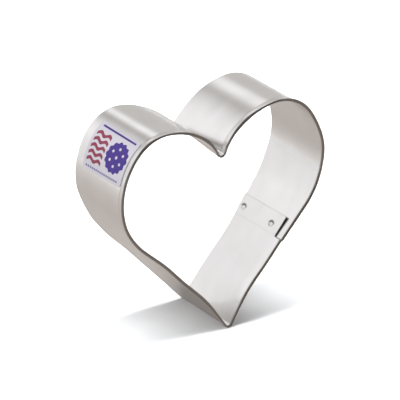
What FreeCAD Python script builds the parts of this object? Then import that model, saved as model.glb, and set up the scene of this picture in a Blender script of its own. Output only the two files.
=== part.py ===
# Heart cookie cutter, in millimetres: one strip of tinplate, hemmed along its rim and bent to a heart. Its ends
# lap on the right flank and are joined by two spot welds, and a small label sits on the left lobe. The hem draws
# the rim's flanks hollow towards the point, while the cutting edge runs straight there, so the wall is ruled.
# The cutter lies flat: cutting edge on z = 0, hemmed rim up, point towards -Y, the heart's mirror line on X = 0.
import FreeCAD, Part
import enum
import math
import os
import re
import Sketcher

# Driving sizes. Angles are in degrees. The heart's plan is the strip's inner face, the line that it cuts.
SIZES = {
    # the strip and its hem
    "strip_depth": 25.4,
    "sheet_thickness": 0.3,
    "hem_width": 2.2,
    "hem_gap": 0.2,
    # the heart's outline, from the cleft round a lobe to the point
    "cleft_half_angle": 31.0,
    "cleft_bend_radius": 0.25,
    "inner_lobe_radius": 24.2,
    "inner_lobe_turn": 50.0,
    "shoulder_radius": 12.5,
    "shoulder_turn": 67.0,
    "side_radius": 22.4,
    "flank_angle": 44.0,
    "flare_radius": 45.0,
    "flare_length": 12.3,
    "point_half_angle": 32.0,
    "point_bend_radius": 0.8,
    "edge_point_shift": 0.4,
    # the lapped seam on the right flank
    "seam_drop": 12.0,
    "lap_length": 6.5,
    "lap_gap": 0.05,
    "butt_gap": 0.1,
    "notch_depth": 3.2,
    "tongue_spring_radius": 60.0,
    # the spot welds
    "weld_diameter": 1.7,
    "weld_clearance": 0.02,
    "weld_dish": 0.12,
    "weld_setback": 2.6,
    "weld_edge_margin": 3.2,
    "weld_notch_margin": 4.6,
    # the label
    "label_height": 15.0,
    "label_width": 19.0,
    "label_thickness": 0.1,
    "label_corner_radius": 1.0,
    "label_rim_margin": 2.9,
    "label_shift": 0.6,
    "adhesive_gap": 0.02,
}

ALONG_Y = FreeCAD.Vector(0, 1, 0)
UP = FreeCAD.Vector(0, 0, 1)


class Code(enum.IntEnum):
    """Numbers that stand for an element's points and for a sketch's own axes in its constraints."""

    START = 1
    END = 2
    CENTRE = 3
    ORIGIN = -1
    Y_AXIS = -2


START, END, CENTRE, ORIGIN, Y_AXIS = Code

doc = FreeCAD.newDocument("heart_cookie_cutter")


# Sheet of driving sizes
def make_sheet():
    """Write each size into a row of the sheet: its name and its value, with the name as alias."""
    table = doc.addObject("Spreadsheet::Sheet", "sizes")
    for row, (name, value) in enumerate(SIZES.items(), start=1):
        table.set(f"A{row}", name)
        table.set(f"B{row}", str(value))
        table.setAlias(f"B{row}", name)
    doc.recompute()
    return table


sheet = make_sheet()


def size(name):
    """Return a driving size as the sheet holds it."""
    return float(sheet.get(name))


def angle(name):
    """Return a driving angle in radians."""
    return math.radians(size(name))


def cells(formula):
    """Return a formula with every size's name pointed at its cell."""
    return re.sub(r"\w+", lambda word: f"{sheet.Name}.{word[0]}" if word[0] in SIZES else word[0], formula)


# Formulas that several pieces share
HEM_THICKNESS = "(2 * sheet_thickness + hem_gap)"
FOLD_RADIUS = "(sheet_thickness + hem_gap / 2)"
LAP_OFFSET = "(sheet_thickness + lap_gap)"
CLEFT_RADIUS = f"(cleft_bend_radius + {HEM_THICKNESS})"
TONGUE_TOP = "(strip_depth - notch_depth)"
TONGUE_LENGTH = "(butt_gap + lap_length)"
FLARE_RUN = "(flare_radius * (flank_angle - point_half_angle) * 1 deg / 1 rad)"
FLARE_TANGENT = "(flare_radius * tan((flank_angle - point_half_angle) * 0.5 deg))"
FLARE_END_X = f"(flare_length - {FLARE_TANGENT}) * sin(point_half_angle * 1 deg)"
LABEL_SEAT = "(sheet_thickness + adhesive_gap)"
SIDE_TURN = "(180 + flank_angle - cleft_half_angle - inner_lobe_turn - shoulder_turn)"
WELD_SPLAY_SIZE = "edge_plan.Constraints.weld_splay"


# Sketching helpers
def new_body(label):
    """Return an empty body with its label."""
    body = doc.addObject("PartDesign::Body", label)
    body.Label = label
    return body


def new_sketch(body, name, plane):
    """Return a sketch of the body on one of its own origin planes."""
    sketch = body.newObject("Sketcher::SketchObject", name)
    role = next(item for item in body.Origin.OriginFeatures if item.Role == plane)
    sketch.AttachmentSupport = [(role, "")]
    sketch.MapMode = "FlatFace"
    return sketch


def drive(sketch, formula, *constraint):
    """Add a dimension to a sketch and bind it to a formula of the sheet's sizes."""
    index = sketch.addConstraint(Sketcher.Constraint(*constraint))
    sketch.setExpression(f"Constraints[{index}]", cells(formula))
    return index


def fix(sketch, *constraint):
    """Add a geometric constraint, one without a size, to a sketch."""
    sketch.addConstraint(Sketcher.Constraint(*constraint))


def measure(sketch, name, element, point):
    """Name the two coordinates of a sketch's point, for other sketches to use."""
    for axis in ("X", "Y"):
        value = getattr(sketch.getPoint(element, point), axis.lower())
        distance = Sketcher.Constraint(f"Distance{axis}", ORIGIN, START, element, point, value)
        index = sketch.addConstraint(distance)
        sketch.setDriving(index, False)
        sketch.renameConstraint(index, f"{name}_{axis.lower()}")


def measure_length(sketch, name, line):
    """Name the length of a sketch's line, for other sketches to use."""
    run = sketch.Geometry[line].length()
    index = sketch.addConstraint(Sketcher.Constraint("Distance", line, run))
    sketch.setDriving(index, False)
    sketch.renameConstraint(index, name)


def set_offset(sketch, **places):
    """Move a sketch from its plane, by formulas along the plane's x, y and z."""
    for name, formula in places.items():
        sketch.setExpression(f"AttachmentOffset.Base.{name}", cells(formula))


def set_turn(sketch, axis, formula):
    """Turn a sketch from its plane, about one of the plane's axes."""
    sketch.AttachmentOffset = FreeCAD.Placement(FreeCAD.Vector(), FreeCAD.Rotation(axis, 1.0))
    sketch.setExpression("AttachmentOffset.Rotation.Angle", cells(formula))


def vector(x, y):
    """Return a point of a plan or section."""
    return FreeCAD.Vector(x, y, 0)


def arc(centre, radius, first, last):
    """Return the arc about a centre, counter-clockwise between two directions in radians."""
    return Part.ArcOfCircle(Part.Circle(centre, UP, radius), first, last)


def polygon(sketch, corners):
    """Draw a closed outline of straight lines through the corners, joined end to end."""
    count = len(corners)
    for place, corner in enumerate(corners):
        sketch.addGeometry(Part.LineSegment(corner, corners[(place + 1) % count]), False)
    for place in range(count):
        fix(sketch, "Coincident", place, END, (place + 1) % count, START)


# Plans of the heart
def across(turn):
    """Return the direction to the right of a run that has turned this far from +Y, clockwise."""
    return vector(math.cos(turn), -math.sin(turn))


def along(turn):
    """Return the direction of a run that has turned this far from +Y, clockwise."""
    return vector(math.sin(turn), math.cos(turn))


def mirrored(point):
    """Return a point of the right half carried over to the left half."""
    return vector(-point.x, point.y)


class HeartPlan:
    """What the rim and the cutting edge share in plan, with the cleft's sharp corner at the origin.

    Each half has the three arcs of a lobe, and a flank down to the point. Below the seam the right flank lies
    inwards by the sheet and the lap's gap, so that its end passes inside the other end as a tongue.
    """

    def __init__(self):
        cleft = angle("cleft_half_angle")
        lobe_end = cleft + angle("inner_lobe_turn")
        shoulder_end = lobe_end + angle("shoulder_turn")
        self.radii = [size(name) for name in ("side_radius", "shoulder_radius", "inner_lobe_radius")]
        side, shoulder, lobe = self.radii
        lobe_centre = across(cleft) * lobe
        shoulder_centre = lobe_centre + across(lobe_end) * (shoulder - lobe)
        side_centre = shoulder_centre + across(shoulder_end) * (side - shoulder)
        self.centres = [side_centre, shoulder_centre, lobe_centre]
        self.cleft_radius = size("cleft_bend_radius") + 2 * size("sheet_thickness") + size("hem_gap")
        rise = math.sqrt((lobe + self.cleft_radius) ** 2 - lobe_centre.x ** 2)
        self.cleft_centre = vector(0, lobe_centre.y + rise)
        self.cleft_tangent = math.atan2(lobe_centre.x, rise)
        self.joins = [shoulder_end, lobe_end, math.pi / 2 - self.cleft_tangent]
        self.side_join = shoulder_end
        self.bend = size("point_bend_radius")
        self.lap = size("sheet_thickness") + size("lap_gap")

    def lobes(self, right_flank, left_flank):
        """Return the arcs from the right side over the cleft to the left side, between the flanks' angles."""
        right_turns = [math.pi + right_flank, *self.joins]
        left_turns = [math.pi + left_flank, *self.joins]
        right = [
            arc(centre, radius, math.pi - start, math.pi - end)
            for centre, radius, start, end in zip(self.centres, self.radii, right_turns, right_turns[1:])
        ]
        left = [
            arc(mirrored(centre), radius, end, start)
            for centre, radius, start, end in zip(self.centres, self.radii, left_turns, left_turns[1:])
        ]
        hollow = math.pi / 2 - self.cleft_tangent
        cleft = arc(self.cleft_centre, self.cleft_radius, math.pi + hollow, 2 * math.pi - hollow)
        return [*right, cleft, *reversed(left)]


class RimPlan(HeartPlan):
    """The inner face at the rim: flank, hollow flare and straight run into the point, all tangent.

    The tongue springs inwards on an arc of its own.
    """

    def __init__(self):
        super().__init__()
        flank, point = angle("flank_angle"), angle("point_half_angle")
        down, down_point = along(math.pi + flank), along(math.pi + point)
        inward = across(math.pi + flank)
        self.flank_top = self.centres[0] - inward * self.radii[0]
        corner_x = size("flare_length") * math.sin(point)
        corner = self.flank_top + down * ((self.flank_top.x - corner_x) / math.sin(flank))
        tangent = size("flare_radius") * math.tan((flank - point) / 2)
        self.flare_top = corner - down * tangent
        self.flare_foot = corner + down_point * tangent
        self.flare_centre = self.flare_top - inward * size("flare_radius")
        self.inwards = inward * self.lap
        self.outer_end = self.flank_top + down * size("seam_drop")
        self.tongue_root = self.outer_end + down * size("butt_gap") + self.inwards
        self.tongue_centre = self.tongue_root + inward * size("tongue_spring_radius")

        apex = corner + down_point * size("flare_length")
        step = self.inwards.y / 2 - self.inwards.x / (2 * math.tan(point))
        apex = apex + vector(-step * math.tan(point), step)
        self.point_centre = apex + vector(0, self.bend / math.sin(point))
        self.point_left = self.point_centre + vector(-math.cos(point), -math.sin(point)) * self.bend
        self.point_right = self.point_centre + vector(math.cos(point), -math.sin(point)) * self.bend

    def elements(self):
        """Return the outline's lines and arcs in order, counter-clockwise from the outer end to the tongue's end."""
        flank, point = angle("flank_angle"), angle("point_half_angle")
        flare, spring = size("flare_radius"), size("tongue_spring_radius")
        tongue_turn = (size("butt_gap") + size("lap_length")) / spring
        return [
            Part.LineSegment(self.outer_end, self.flank_top),
            *self.lobes(flank, flank),
            Part.LineSegment(mirrored(self.flank_top), mirrored(self.flare_top)),
            arc(mirrored(self.flare_centre), flare, point, flank),
            Part.LineSegment(mirrored(self.flare_foot), self.point_left),
            arc(self.point_centre, self.bend, math.pi + point, 2 * math.pi - point),
            Part.LineSegment(self.point_right, self.flare_foot + self.inwards),
            arc(self.flare_centre + self.inwards, flare, math.pi - flank, math.pi - point),
            Part.LineSegment(self.flare_top + self.inwards, self.tongue_root),
            arc(self.tongue_centre, spring, -flank, tongue_turn - flank),
        ]


class EdgePlan(HeartPlan):
    """The inner face at the cutting edge: straight flanks, tangent to the sides and to the bend at the point.

    The point stands a little aside of the rim's, as bending left it. Each flank is cut in as many runs as the
    rim's, so that each run of the wall has one above it.
    """

    def __init__(self, rim):
        super().__init__()
        side_centre, side = self.centres[0], self.radii[0]
        point_centre = rim.point_centre + vector(size("edge_point_shift"), 0)
        self.point_centre = point_centre
        self.right_flank = self.lean(side_centre - point_centre, side - self.bend - self.lap)
        self.left_flank = self.lean(side_centre - mirrored(point_centre), side - self.bend)
        flare_run = size("flare_radius") * (angle("flank_angle") - angle("point_half_angle"))

        down, inward = along(math.pi + self.right_flank), across(math.pi + self.right_flank)
        self.flank_top = side_centre - inward * side
        rim_down = along(math.pi + angle("flank_angle"))
        drop = (rim.outer_end - self.flank_top).dot(rim_down) / down.dot(rim_down)
        self.outer_end = self.flank_top + down * drop
        self.tongue_root = self.outer_end + down * size("butt_gap") + inward * self.lap
        self.tongue_end = self.tongue_root - down * (size("butt_gap") + size("lap_length"))
        self.point_right = point_centre - inward * self.bend
        right_run = rim.point_right.distanceToPoint(rim.flare_foot + rim.inwards)
        self.right_foot = self.point_right - down * right_run
        self.right_top = self.right_foot - down * flare_run

        down, inward = (mirrored(turned(math.pi + self.left_flank)) for turned in (along, across))
        self.left_flank_top = mirrored(side_centre) - inward * side
        self.point_left = point_centre - inward * self.bend
        left_run = rim.point_left.distanceToPoint(mirrored(rim.flare_foot))
        self.left_foot = self.point_left - down * left_run
        self.left_top = self.left_foot - down * flare_run

    def lean(self, span, step):
        """Return a flank's angle from the mirror line, where it passes two circles whose radii differ by a step."""
        return math.atan2(span.x, span.y) + math.asin(step / span.Length)

    def elements(self):
        """Return the outline's lines and arcs in order, counter-clockwise from the outer end to the tongue's end."""
        return [
            Part.LineSegment(self.outer_end, self.flank_top),
            *self.lobes(self.right_flank, self.left_flank),
            Part.LineSegment(self.left_flank_top, self.left_top),
            Part.LineSegment(self.left_top, self.left_foot),
            Part.LineSegment(self.left_foot, self.point_left),
            arc(self.point_centre, self.bend, math.pi + self.left_flank, 2 * math.pi - self.right_flank),
            Part.LineSegment(self.point_right, self.right_foot),
            Part.LineSegment(self.right_foot, self.right_top),
            Part.LineSegment(self.right_top, self.tongue_root),
            Part.LineSegment(self.tongue_root, self.tongue_end),
        ]


# Places of the outline's elements in the plan sketches
(FLANK, SIDE, SHOULDER, LOBE, CLEFT, LEFT_LOBE, LEFT_SHOULDER, LEFT_SIDE, LEFT_FLANK, LEFT_FLARE, LEFT_POINT,
 POINT_BEND, RIGHT_POINT, RIGHT_FLARE, LOWER_FLANK, TONGUE, WELD_SPLAY) = range(17)
EQUAL_ARCS = ((SIDE, LEFT_SIDE), (SHOULDER, LEFT_SHOULDER), (LOBE, LEFT_LOBE))


def join_tangent(sketch, elements, hollow):
    """Join each pair of neighbouring elements without a corner; a hollow arc runs against its own direction."""
    for before, after in elements:
        leaves = START if before in hollow else END
        enters = END if after in hollow else START
        fix(sketch, "Tangent", before, leaves, after, enters)


def join_straight(sketch, elements):
    """Join each pair of neighbouring lines end to end in one direction."""
    for before, after in elements:
        fix(sketch, "Coincident", before, END, after, START)
        fix(sketch, "Parallel", before, after)


def drive_lobes(sketch, outline):
    """Bind the lobes, the cleft and the bend at the point to the driving sizes."""
    for right, left in EQUAL_ARCS:
        fix(sketch, "Equal", right, left)
    for right, left in ((SIDE, LEFT_SIDE), (LOBE, LEFT_LOBE)):
        fix(sketch, "Symmetric", right, CENTRE, left, CENTRE, Y_AXIS)
    radii = {
        SIDE: "side_radius",
        SHOULDER: "shoulder_radius",
        LOBE: "inner_lobe_radius",
        CLEFT: CLEFT_RADIUS,
        POINT_BEND: "point_bend_radius",
    }
    for element, formula in radii.items():
        drive(sketch, formula, "Radius", element, outline[element].Radius)
    lobe_centre = outline[LOBE].Center
    drive(sketch, "inner_lobe_radius * cos(cleft_half_angle * 1 deg)",
          "DistanceX", ORIGIN, START, LOBE, CENTRE, lobe_centre.x)
    drive(sketch, "- inner_lobe_radius * sin(cleft_half_angle * 1 deg)",
          "DistanceY", ORIGIN, START, LOBE, CENTRE, lobe_centre.y)


def drive_lap(sketch, outline):
    """Bind the tongue's root to the outer end: inwards by the lap, and away by the butt's gap."""
    lap_offset = size("sheet_thickness") + size("lap_gap")
    drive(sketch, LAP_OFFSET, "Distance", LOWER_FLANK, END, FLANK, lap_offset)
    step = outline[FLANK].StartPoint.distanceToPoint(outline[LOWER_FLANK].EndPoint)
    drive(sketch, f"sqrt(butt_gap ^ 2 + {LAP_OFFSET} ^ 2)",
          "Distance", FLANK, START, LOWER_FLANK, END, step)


def draw_rim_plan(sketch):
    """Draw the rim's outline as an open run of tangent lines and arcs, bound to the driving sizes."""
    outline = RimPlan().elements()
    sketch.addGeometry(outline, False)
    neighbours = zip(range(FLANK, TONGUE), range(SIDE, TONGUE + 1))
    join_tangent(sketch, neighbours, (CLEFT, LEFT_FLARE, RIGHT_FLARE))
    drive_lobes(sketch, outline)
    fix(sketch, "Equal", LEFT_FLARE, RIGHT_FLARE)
    for element, formula in ((LEFT_FLARE, "flare_radius"), (TONGUE, "tongue_spring_radius")):
        drive(sketch, formula, "Radius", element, outline[element].Radius)
    spans = {
        SIDE: f"{SIDE_TURN} * 1 deg",
        SHOULDER: "shoulder_turn * 1 deg",
        TONGUE: f"{TONGUE_LENGTH} / tongue_spring_radius * 1 rad",
    }
    for element, formula in spans.items():
        span = outline[element].LastParameter - outline[element].FirstParameter
        drive(sketch, formula, "Angle", element, span)
    slopes = {
        FLANK: "(90 - flank_angle)",
        LOWER_FLANK: "(90 - flank_angle)",
        RIGHT_POINT: "(90 - point_half_angle)",
        LEFT_FLANK: "(flank_angle - 90)",
        LEFT_POINT: "(point_half_angle - 90)",
    }
    for element, formula in slopes.items():
        run = outline[element].EndPoint - outline[element].StartPoint
        drive(sketch, f"{formula} * 1 deg", "Angle", element, math.atan2(run.y, run.x))
    drive(sketch, "seam_drop", "Distance", FLANK, size("seam_drop"))
    drive_lap(sketch, outline)
    drive(sketch, FLARE_END_X,
          "DistanceX", LEFT_POINT, START, ORIGIN, START, -outline[LEFT_POINT].StartPoint.x)
    drive(sketch, f"{FLARE_END_X} - {LAP_OFFSET} * cos(flank_angle * 1 deg)",
          "DistanceX", ORIGIN, START, RIGHT_POINT, END, outline[RIGHT_POINT].EndPoint.x)
    measure(sketch, "outer_end", FLANK, START)
    measure(sketch, "shoulder_centre", LEFT_SHOULDER, CENTRE)
    measure(sketch, "side_centre", LEFT_SIDE, CENTRE)
    measure(sketch, "point_centre", POINT_BEND, CENTRE)
    measure_length(sketch, "left_run", LEFT_POINT)
    measure_length(sketch, "right_run", RIGHT_POINT)


def rim_value(name):
    """Return the formula of a measured size of the rim's plan."""
    return f"rim_plan.Constraints.{name}"


def draw_edge_plan(sketch):
    """Draw the cutting edge's outline under the rim's, with straight flanks, and measure its splay at the welds."""
    plan = EdgePlan(RimPlan())
    outline = plan.elements()
    sketch.addGeometry(outline, False)
    round_joins = [(element, element + 1) for element in range(FLANK, LEFT_FLANK)]
    round_joins += [(LEFT_POINT, POINT_BEND), (POINT_BEND, RIGHT_POINT)]
    join_tangent(sketch, round_joins, (CLEFT,))
    join_straight(sketch, ((LEFT_FLANK, LEFT_FLARE), (LEFT_FLARE, LEFT_POINT), (RIGHT_POINT, RIGHT_FLARE),
                           (RIGHT_FLARE, LOWER_FLANK), (LOWER_FLANK, TONGUE)))
    fix(sketch, "Parallel", FLANK, LOWER_FLANK)
    drive_lobes(sketch, outline)
    centres = {
        LEFT_SIDE: (rim_value("side_centre_x"), rim_value("side_centre_y")),
        POINT_BEND: (f"{rim_value('point_centre_x')} + edge_point_shift * 1 mm", rim_value("point_centre_y")),
    }
    for element, (x_formula, y_formula) in centres.items():
        centre = outline[element].Center
        drive(sketch, x_formula, "DistanceX", ORIGIN, START, element, CENTRE, centre.x)
        drive(sketch, y_formula, "DistanceY", ORIGIN, START, element, CENTRE, centre.y)
    runs = {
        LEFT_FLARE: FLARE_RUN,
        LEFT_POINT: rim_value("left_run"),
        RIGHT_FLARE: FLARE_RUN,
        RIGHT_POINT: rim_value("right_run"),
        TONGUE: TONGUE_LENGTH,
    }
    for element, formula in runs.items():
        run = outline[element].StartPoint.distanceToPoint(outline[element].EndPoint)
        drive(sketch, formula, "Distance", element, run)
    drive_lap(sketch, outline)
    square_end(sketch, plan)


def square_end(sketch, plan):
    """Set the outer end square below the rim's, and measure the splay where the welds are set back from it."""
    flank = angle("flank_angle")
    outward, up = -across(math.pi + flank), -along(math.pi + flank)
    rim_end = RimPlan().outer_end
    end_splay = WELD_SPLAY + 1
    for line, setback in ((WELD_SPLAY, size("weld_setback")), (end_splay, 0.0)):
        root = rim_end + up * setback
        leaning = plan.outer_end - plan.flank_top
        foot = plan.outer_end - leaning * (setback / leaning.dot(-up))
        sketch.addGeometry(Part.LineSegment(root, foot), True)
        drive(sketch, "- flank_angle * 1 deg", "Angle", line, -flank)
    for line, back in ((WELD_SPLAY, "weld_setback * 1 mm"), (end_splay, "0 mm")):
        drive(sketch, f"{rim_value('outer_end_x')} + {back} * sin(flank_angle * 1 deg)",
              "DistanceX", ORIGIN, START, line, START, sketch.getPoint(line, START).x)
        drive(sketch, f"{rim_value('outer_end_y')} + {back} * cos(flank_angle * 1 deg)",
              "DistanceY", ORIGIN, START, line, START, sketch.getPoint(line, START).y)
    fix(sketch, "PointOnObject", WELD_SPLAY, END, FLANK)
    fix(sketch, "Coincident", end_splay, END, FLANK, START)
    measure_length(sketch, "weld_splay", WELD_SPLAY)


# The hemmed strip
def draw_rim_section(sketch):
    """Draw the rim's section above the notch: wall, round fold at the top, hem down outside."""
    sheet_size, gap, height = size("sheet_thickness"), size("hem_gap"), size("notch_depth")
    fold_radius = sheet_size + gap / 2
    fold_height = height - fold_radius
    slot_height = height - sheet_size
    hem_end = height - size("hem_width")
    inside, outside = 0.0, sheet_size
    hem_inside, hem_outside = sheet_size + gap, 2 * sheet_size + gap
    foot, wall_out, slot_end, hem_in, hem_tip, hem_out, fold, wall_in = range(8)
    sketch.addGeometry([
        Part.LineSegment(vector(inside, 0), vector(outside, 0)),
        Part.LineSegment(vector(outside, 0), vector(outside, slot_height)),
        Part.LineSegment(vector(outside, slot_height), vector(hem_inside, slot_height)),
        Part.LineSegment(vector(hem_inside, slot_height), vector(hem_inside, hem_end)),
        Part.LineSegment(vector(hem_inside, hem_end), vector(hem_outside, hem_end)),
        Part.LineSegment(vector(hem_outside, hem_end), vector(hem_outside, fold_height)),
        arc(vector(fold_radius, fold_height), fold_radius, 0, math.pi),
        Part.LineSegment(vector(inside, fold_height), vector(inside, 0)),
    ], False)
    fix(sketch, "Coincident", foot, START, ORIGIN, START)
    for before in (foot, wall_out, slot_end, hem_in, hem_tip):
        fix(sketch, "Coincident", before, END, before + 1, START)
    fix(sketch, "Tangent", hem_out, END, fold, START)
    fix(sketch, "Tangent", fold, END, wall_in, START)
    fix(sketch, "Coincident", wall_in, END, foot, START)
    for line in (foot, slot_end, hem_tip):
        fix(sketch, "Horizontal", line)
    for line in (wall_out, hem_in, hem_out, wall_in):
        fix(sketch, "Vertical", line)
    for line in (foot, hem_tip):
        drive(sketch, "sheet_thickness", "Distance", line, sheet_size)
    drive(sketch, "hem_gap", "Distance", slot_end, gap)
    drive(sketch, "notch_depth - sheet_thickness", "Distance", wall_out, slot_height)
    drive(sketch, f"notch_depth - {FOLD_RADIUS}", "Distance", wall_in, fold_height)
    drive(sketch, "notch_depth - hem_width", "DistanceY", ORIGIN, START, hem_tip, END, hem_end)


def weld_heights():
    """Return each weld's name and the formula of its height above the cutting edge."""
    return {
        "edge_side_weld": "weld_edge_margin",
        "hem_side_weld": f"({TONGUE_TOP} - weld_notch_margin)",
    }


def draw_weld_holes(sketch):
    """Draw the holes that the welds fill, on the flank's plane, set back from the outer end."""
    radius = size("weld_diameter") / 2 + size("weld_clearance")
    setback = size("weld_setback")
    tongue_top = size("strip_depth") - size("notch_depth")
    heights = (size("weld_edge_margin"), tongue_top - size("weld_notch_margin"))
    for element, (height, formula) in enumerate(zip(heights, weld_heights().values())):
        sketch.addGeometry(Part.Circle(vector(setback, height), UP, radius), False)
        drive(sketch, "weld_diameter / 2 + weld_clearance", "Radius", element, radius)
        drive(sketch, "weld_setback", "DistanceX", ORIGIN, START, element, CENTRE, setback)
        drive(sketch, formula, "DistanceY", ORIGIN, START, element, CENTRE, height)


def make_ring(body, plan, name):
    """Return the sheet's outline at a plan's height: the plan thickened outwards by the sheet."""
    ring = body.newObject("PartDesign::SubShapeBinder", name)
    ring.Support = [(plan, "")]
    ring.OffsetJoinType = "Intersection"
    ring.OffsetFill = True
    ring.OffsetOpenResult = True
    ring.setExpression("Offset", cells("sheet_thickness * 1 mm"))
    return ring


def make_band():
    """Build the strip: ruled wall with its tongue, hemmed rim carried along the heart above it, weld holes."""
    body = new_body("heart_band")
    rim_plan = new_sketch(body, "rim_plan", "XY_Plane")
    draw_rim_plan(rim_plan)
    set_offset(rim_plan, z=TONGUE_TOP)
    edge_plan = new_sketch(body, "edge_plan", "XY_Plane")
    draw_edge_plan(edge_plan)
    wall = body.newObject("PartDesign::AdditiveLoft", "ruled_wall")
    wall.Profile = make_ring(body, edge_plan, "edge_ring")
    wall.Sections = [(make_ring(body, rim_plan, "notch_ring"), [""])]
    wall.Ruled = True

    section = new_sketch(body, "rim_section", "XZ_Plane")
    draw_rim_section(section)
    set_turn(section, ALONG_Y, "- flank_angle")
    set_offset(section, x=rim_value("outer_end_x"), y=TONGUE_TOP, z=f"- {rim_value('outer_end_y')}")
    rim = body.newObject("PartDesign::AdditivePipe", "hemmed_rim")
    rim.Profile = section
    rim.Spine = (rim_plan, [f"Edge{number + 1}" for number in range(FLANK, TONGUE)])

    hole_plan = new_sketch(body, "weld_hole_plan", "XZ_Plane")
    draw_weld_holes(hole_plan)
    set_turn(hole_plan, ALONG_Y, "90 - flank_angle")
    set_offset(hole_plan, x=rim_value("outer_end_x"), z=f"- {rim_value('outer_end_y')}")
    holes = body.newObject("PartDesign::Pocket", "weld_holes")
    holes.Profile = hole_plan
    holes.Midplane = True
    holes.setExpression("Length", cells(f"4 * {LAP_OFFSET} * 1 mm + 2 * {WELD_SPLAY_SIZE}"))
    body.Tip = holes
    return body


# The spot welds
def make_weld(label, height):
    """Build a weld: a nugget through both layers of the lap, out where the wall is at its height, dished twice."""
    body = new_body(label)
    sketch = new_sketch(body, f"{label}_section", "XY_Plane")
    radius, dish = size("weld_diameter") / 2, size("weld_dish")
    outer, inner = -size("sheet_thickness"), size("sheet_thickness") + size("lap_gap")
    sphere = (radius ** 2 + dish ** 2) / (2 * dish)
    spread = math.asin(radius / sphere)
    down = -math.pi / 2
    axis, inner_dish, wall, outer_dish = range(4)
    sketch.addGeometry([
        Part.LineSegment(vector(0, outer + dish), vector(0, inner - dish)),
        arc(vector(0, inner - dish + sphere), sphere, down, down + spread),
        Part.LineSegment(vector(radius, inner), vector(radius, outer)),
        arc(vector(0, outer + dish - sphere), sphere, math.pi / 2 - spread, math.pi / 2),
    ], False)
    fix(sketch, "Coincident", axis, END, inner_dish, START)
    fix(sketch, "Coincident", inner_dish, END, wall, START)
    fix(sketch, "Coincident", wall, END, outer_dish, START)
    fix(sketch, "Coincident", outer_dish, END, axis, START)
    fix(sketch, "PointOnObject", axis, START, Y_AXIS)
    fix(sketch, "Vertical", axis)
    fix(sketch, "Vertical", wall)
    for dished in (inner_dish, outer_dish):
        fix(sketch, "PointOnObject", dished, CENTRE, Y_AXIS)
    drive(sketch, "weld_diameter / 2", "DistanceX", ORIGIN, START, wall, START, radius)
    drive(sketch, LAP_OFFSET, "DistanceY", ORIGIN, START, wall, START, inner)
    drive(sketch, "sheet_thickness", "DistanceY", wall, END, ORIGIN, START, -outer)
    drive(sketch, "weld_dish", "DistanceY", inner_dish, START, inner_dish, END, dish)
    drive(sketch, "weld_dish", "DistanceY", outer_dish, START, outer_dish, END, dish)
    set_turn(sketch, UP, "90 - flank_angle")
    back, splay = "weld_setback * 1 mm", f"{WELD_SPLAY_SIZE} * (1 - {height} / {TONGUE_TOP})"
    sine, cosine = "sin(flank_angle * 1 deg)", "cos(flank_angle * 1 deg)"
    set_offset(sketch,
               x=f"{rim_value('outer_end_x')} + {back} * {sine} + {splay} * {cosine}",
               y=f"{rim_value('outer_end_y')} + {back} * {cosine} - {splay} * {sine}",
               z=height)
    nugget = body.newObject("PartDesign::Revolution", f"{label}_nugget")
    nugget.Profile = sketch
    nugget.ReferenceAxis = (sketch, ["V_Axis"])
    body.Tip = nugget
    return body


# The label
def draw_label_plan(sketch):
    """Draw the label in plan: a thin band outside the lobe, across the join of shoulder and side."""
    plan = HeartPlan()
    join = plan.side_join
    side_centre, shoulder_centre = (mirrored(centre) for centre in plan.centres[:2])
    seat = size("sheet_thickness") + size("adhesive_gap")
    top_run = size("label_height") / 2 - size("label_shift")
    foot_run = size("label_height") / 2 + size("label_shift")
    shoulder, side = size("shoulder_radius") + seat, size("side_radius") + seat
    top, foot = join - top_run / shoulder, join + foot_run / side
    thickness = size("label_thickness")

    def place(centre, radius, turn):
        """Return the point of a circle in a direction from its centre."""
        return centre + vector(math.cos(turn), math.sin(turn)) * radius

    shoulder_face, side_face = shoulder + thickness, side + thickness
    back_top, back_foot, foot_edge, face_foot, face_top, top_edge = range(6)
    sketch.addGeometry([
        arc(shoulder_centre, shoulder, top, join),
        arc(side_centre, side, join, foot),
        Part.LineSegment(place(side_centre, side, foot), place(side_centre, side_face, foot)),
        arc(side_centre, side_face, join, foot),
        arc(shoulder_centre, shoulder_face, top, join),
        Part.LineSegment(place(shoulder_centre, shoulder_face, top), place(shoulder_centre, shoulder, top)),
    ], False)
    fix(sketch, "Tangent", back_top, END, back_foot, START)
    fix(sketch, "Coincident", back_foot, END, foot_edge, START)
    fix(sketch, "Coincident", foot_edge, END, face_foot, END)
    fix(sketch, "Tangent", face_foot, START, face_top, END)
    fix(sketch, "Coincident", face_top, START, top_edge, START)
    fix(sketch, "Coincident", top_edge, END, back_top, START)
    fix(sketch, "Coincident", back_top, CENTRE, face_top, CENTRE)
    fix(sketch, "Coincident", back_foot, CENTRE, face_foot, CENTRE)
    fix(sketch, "PointOnObject", back_top, CENTRE, top_edge)
    fix(sketch, "PointOnObject", back_foot, CENTRE, foot_edge)
    drive(sketch, f"shoulder_radius + {LABEL_SEAT}", "Radius", back_top, shoulder)
    drive(sketch, f"side_radius + {LABEL_SEAT}", "Radius", back_foot, side)
    drive(sketch, "label_thickness", "Distance", top_edge, thickness)
    drive(sketch, f"- {rim_value('shoulder_centre_x')}",
          "DistanceX", back_top, CENTRE, ORIGIN, START, -shoulder_centre.x)
    drive(sketch, f"- {rim_value('shoulder_centre_y')}",
          "DistanceY", back_top, CENTRE, ORIGIN, START, -shoulder_centre.y)
    drive(sketch, f"- {rim_value('side_centre_x')}",
          "DistanceX", back_foot, CENTRE, ORIGIN, START, -side_centre.x)
    drive(sketch, f"(label_height / 2 - label_shift) / (shoulder_radius + {LABEL_SEAT}) * 1 rad",
          "Angle", back_top, join - top)
    drive(sketch, f"(label_height / 2 + label_shift) / (side_radius + {LABEL_SEAT}) * 1 rad",
          "Angle", back_foot, foot - join)


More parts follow.
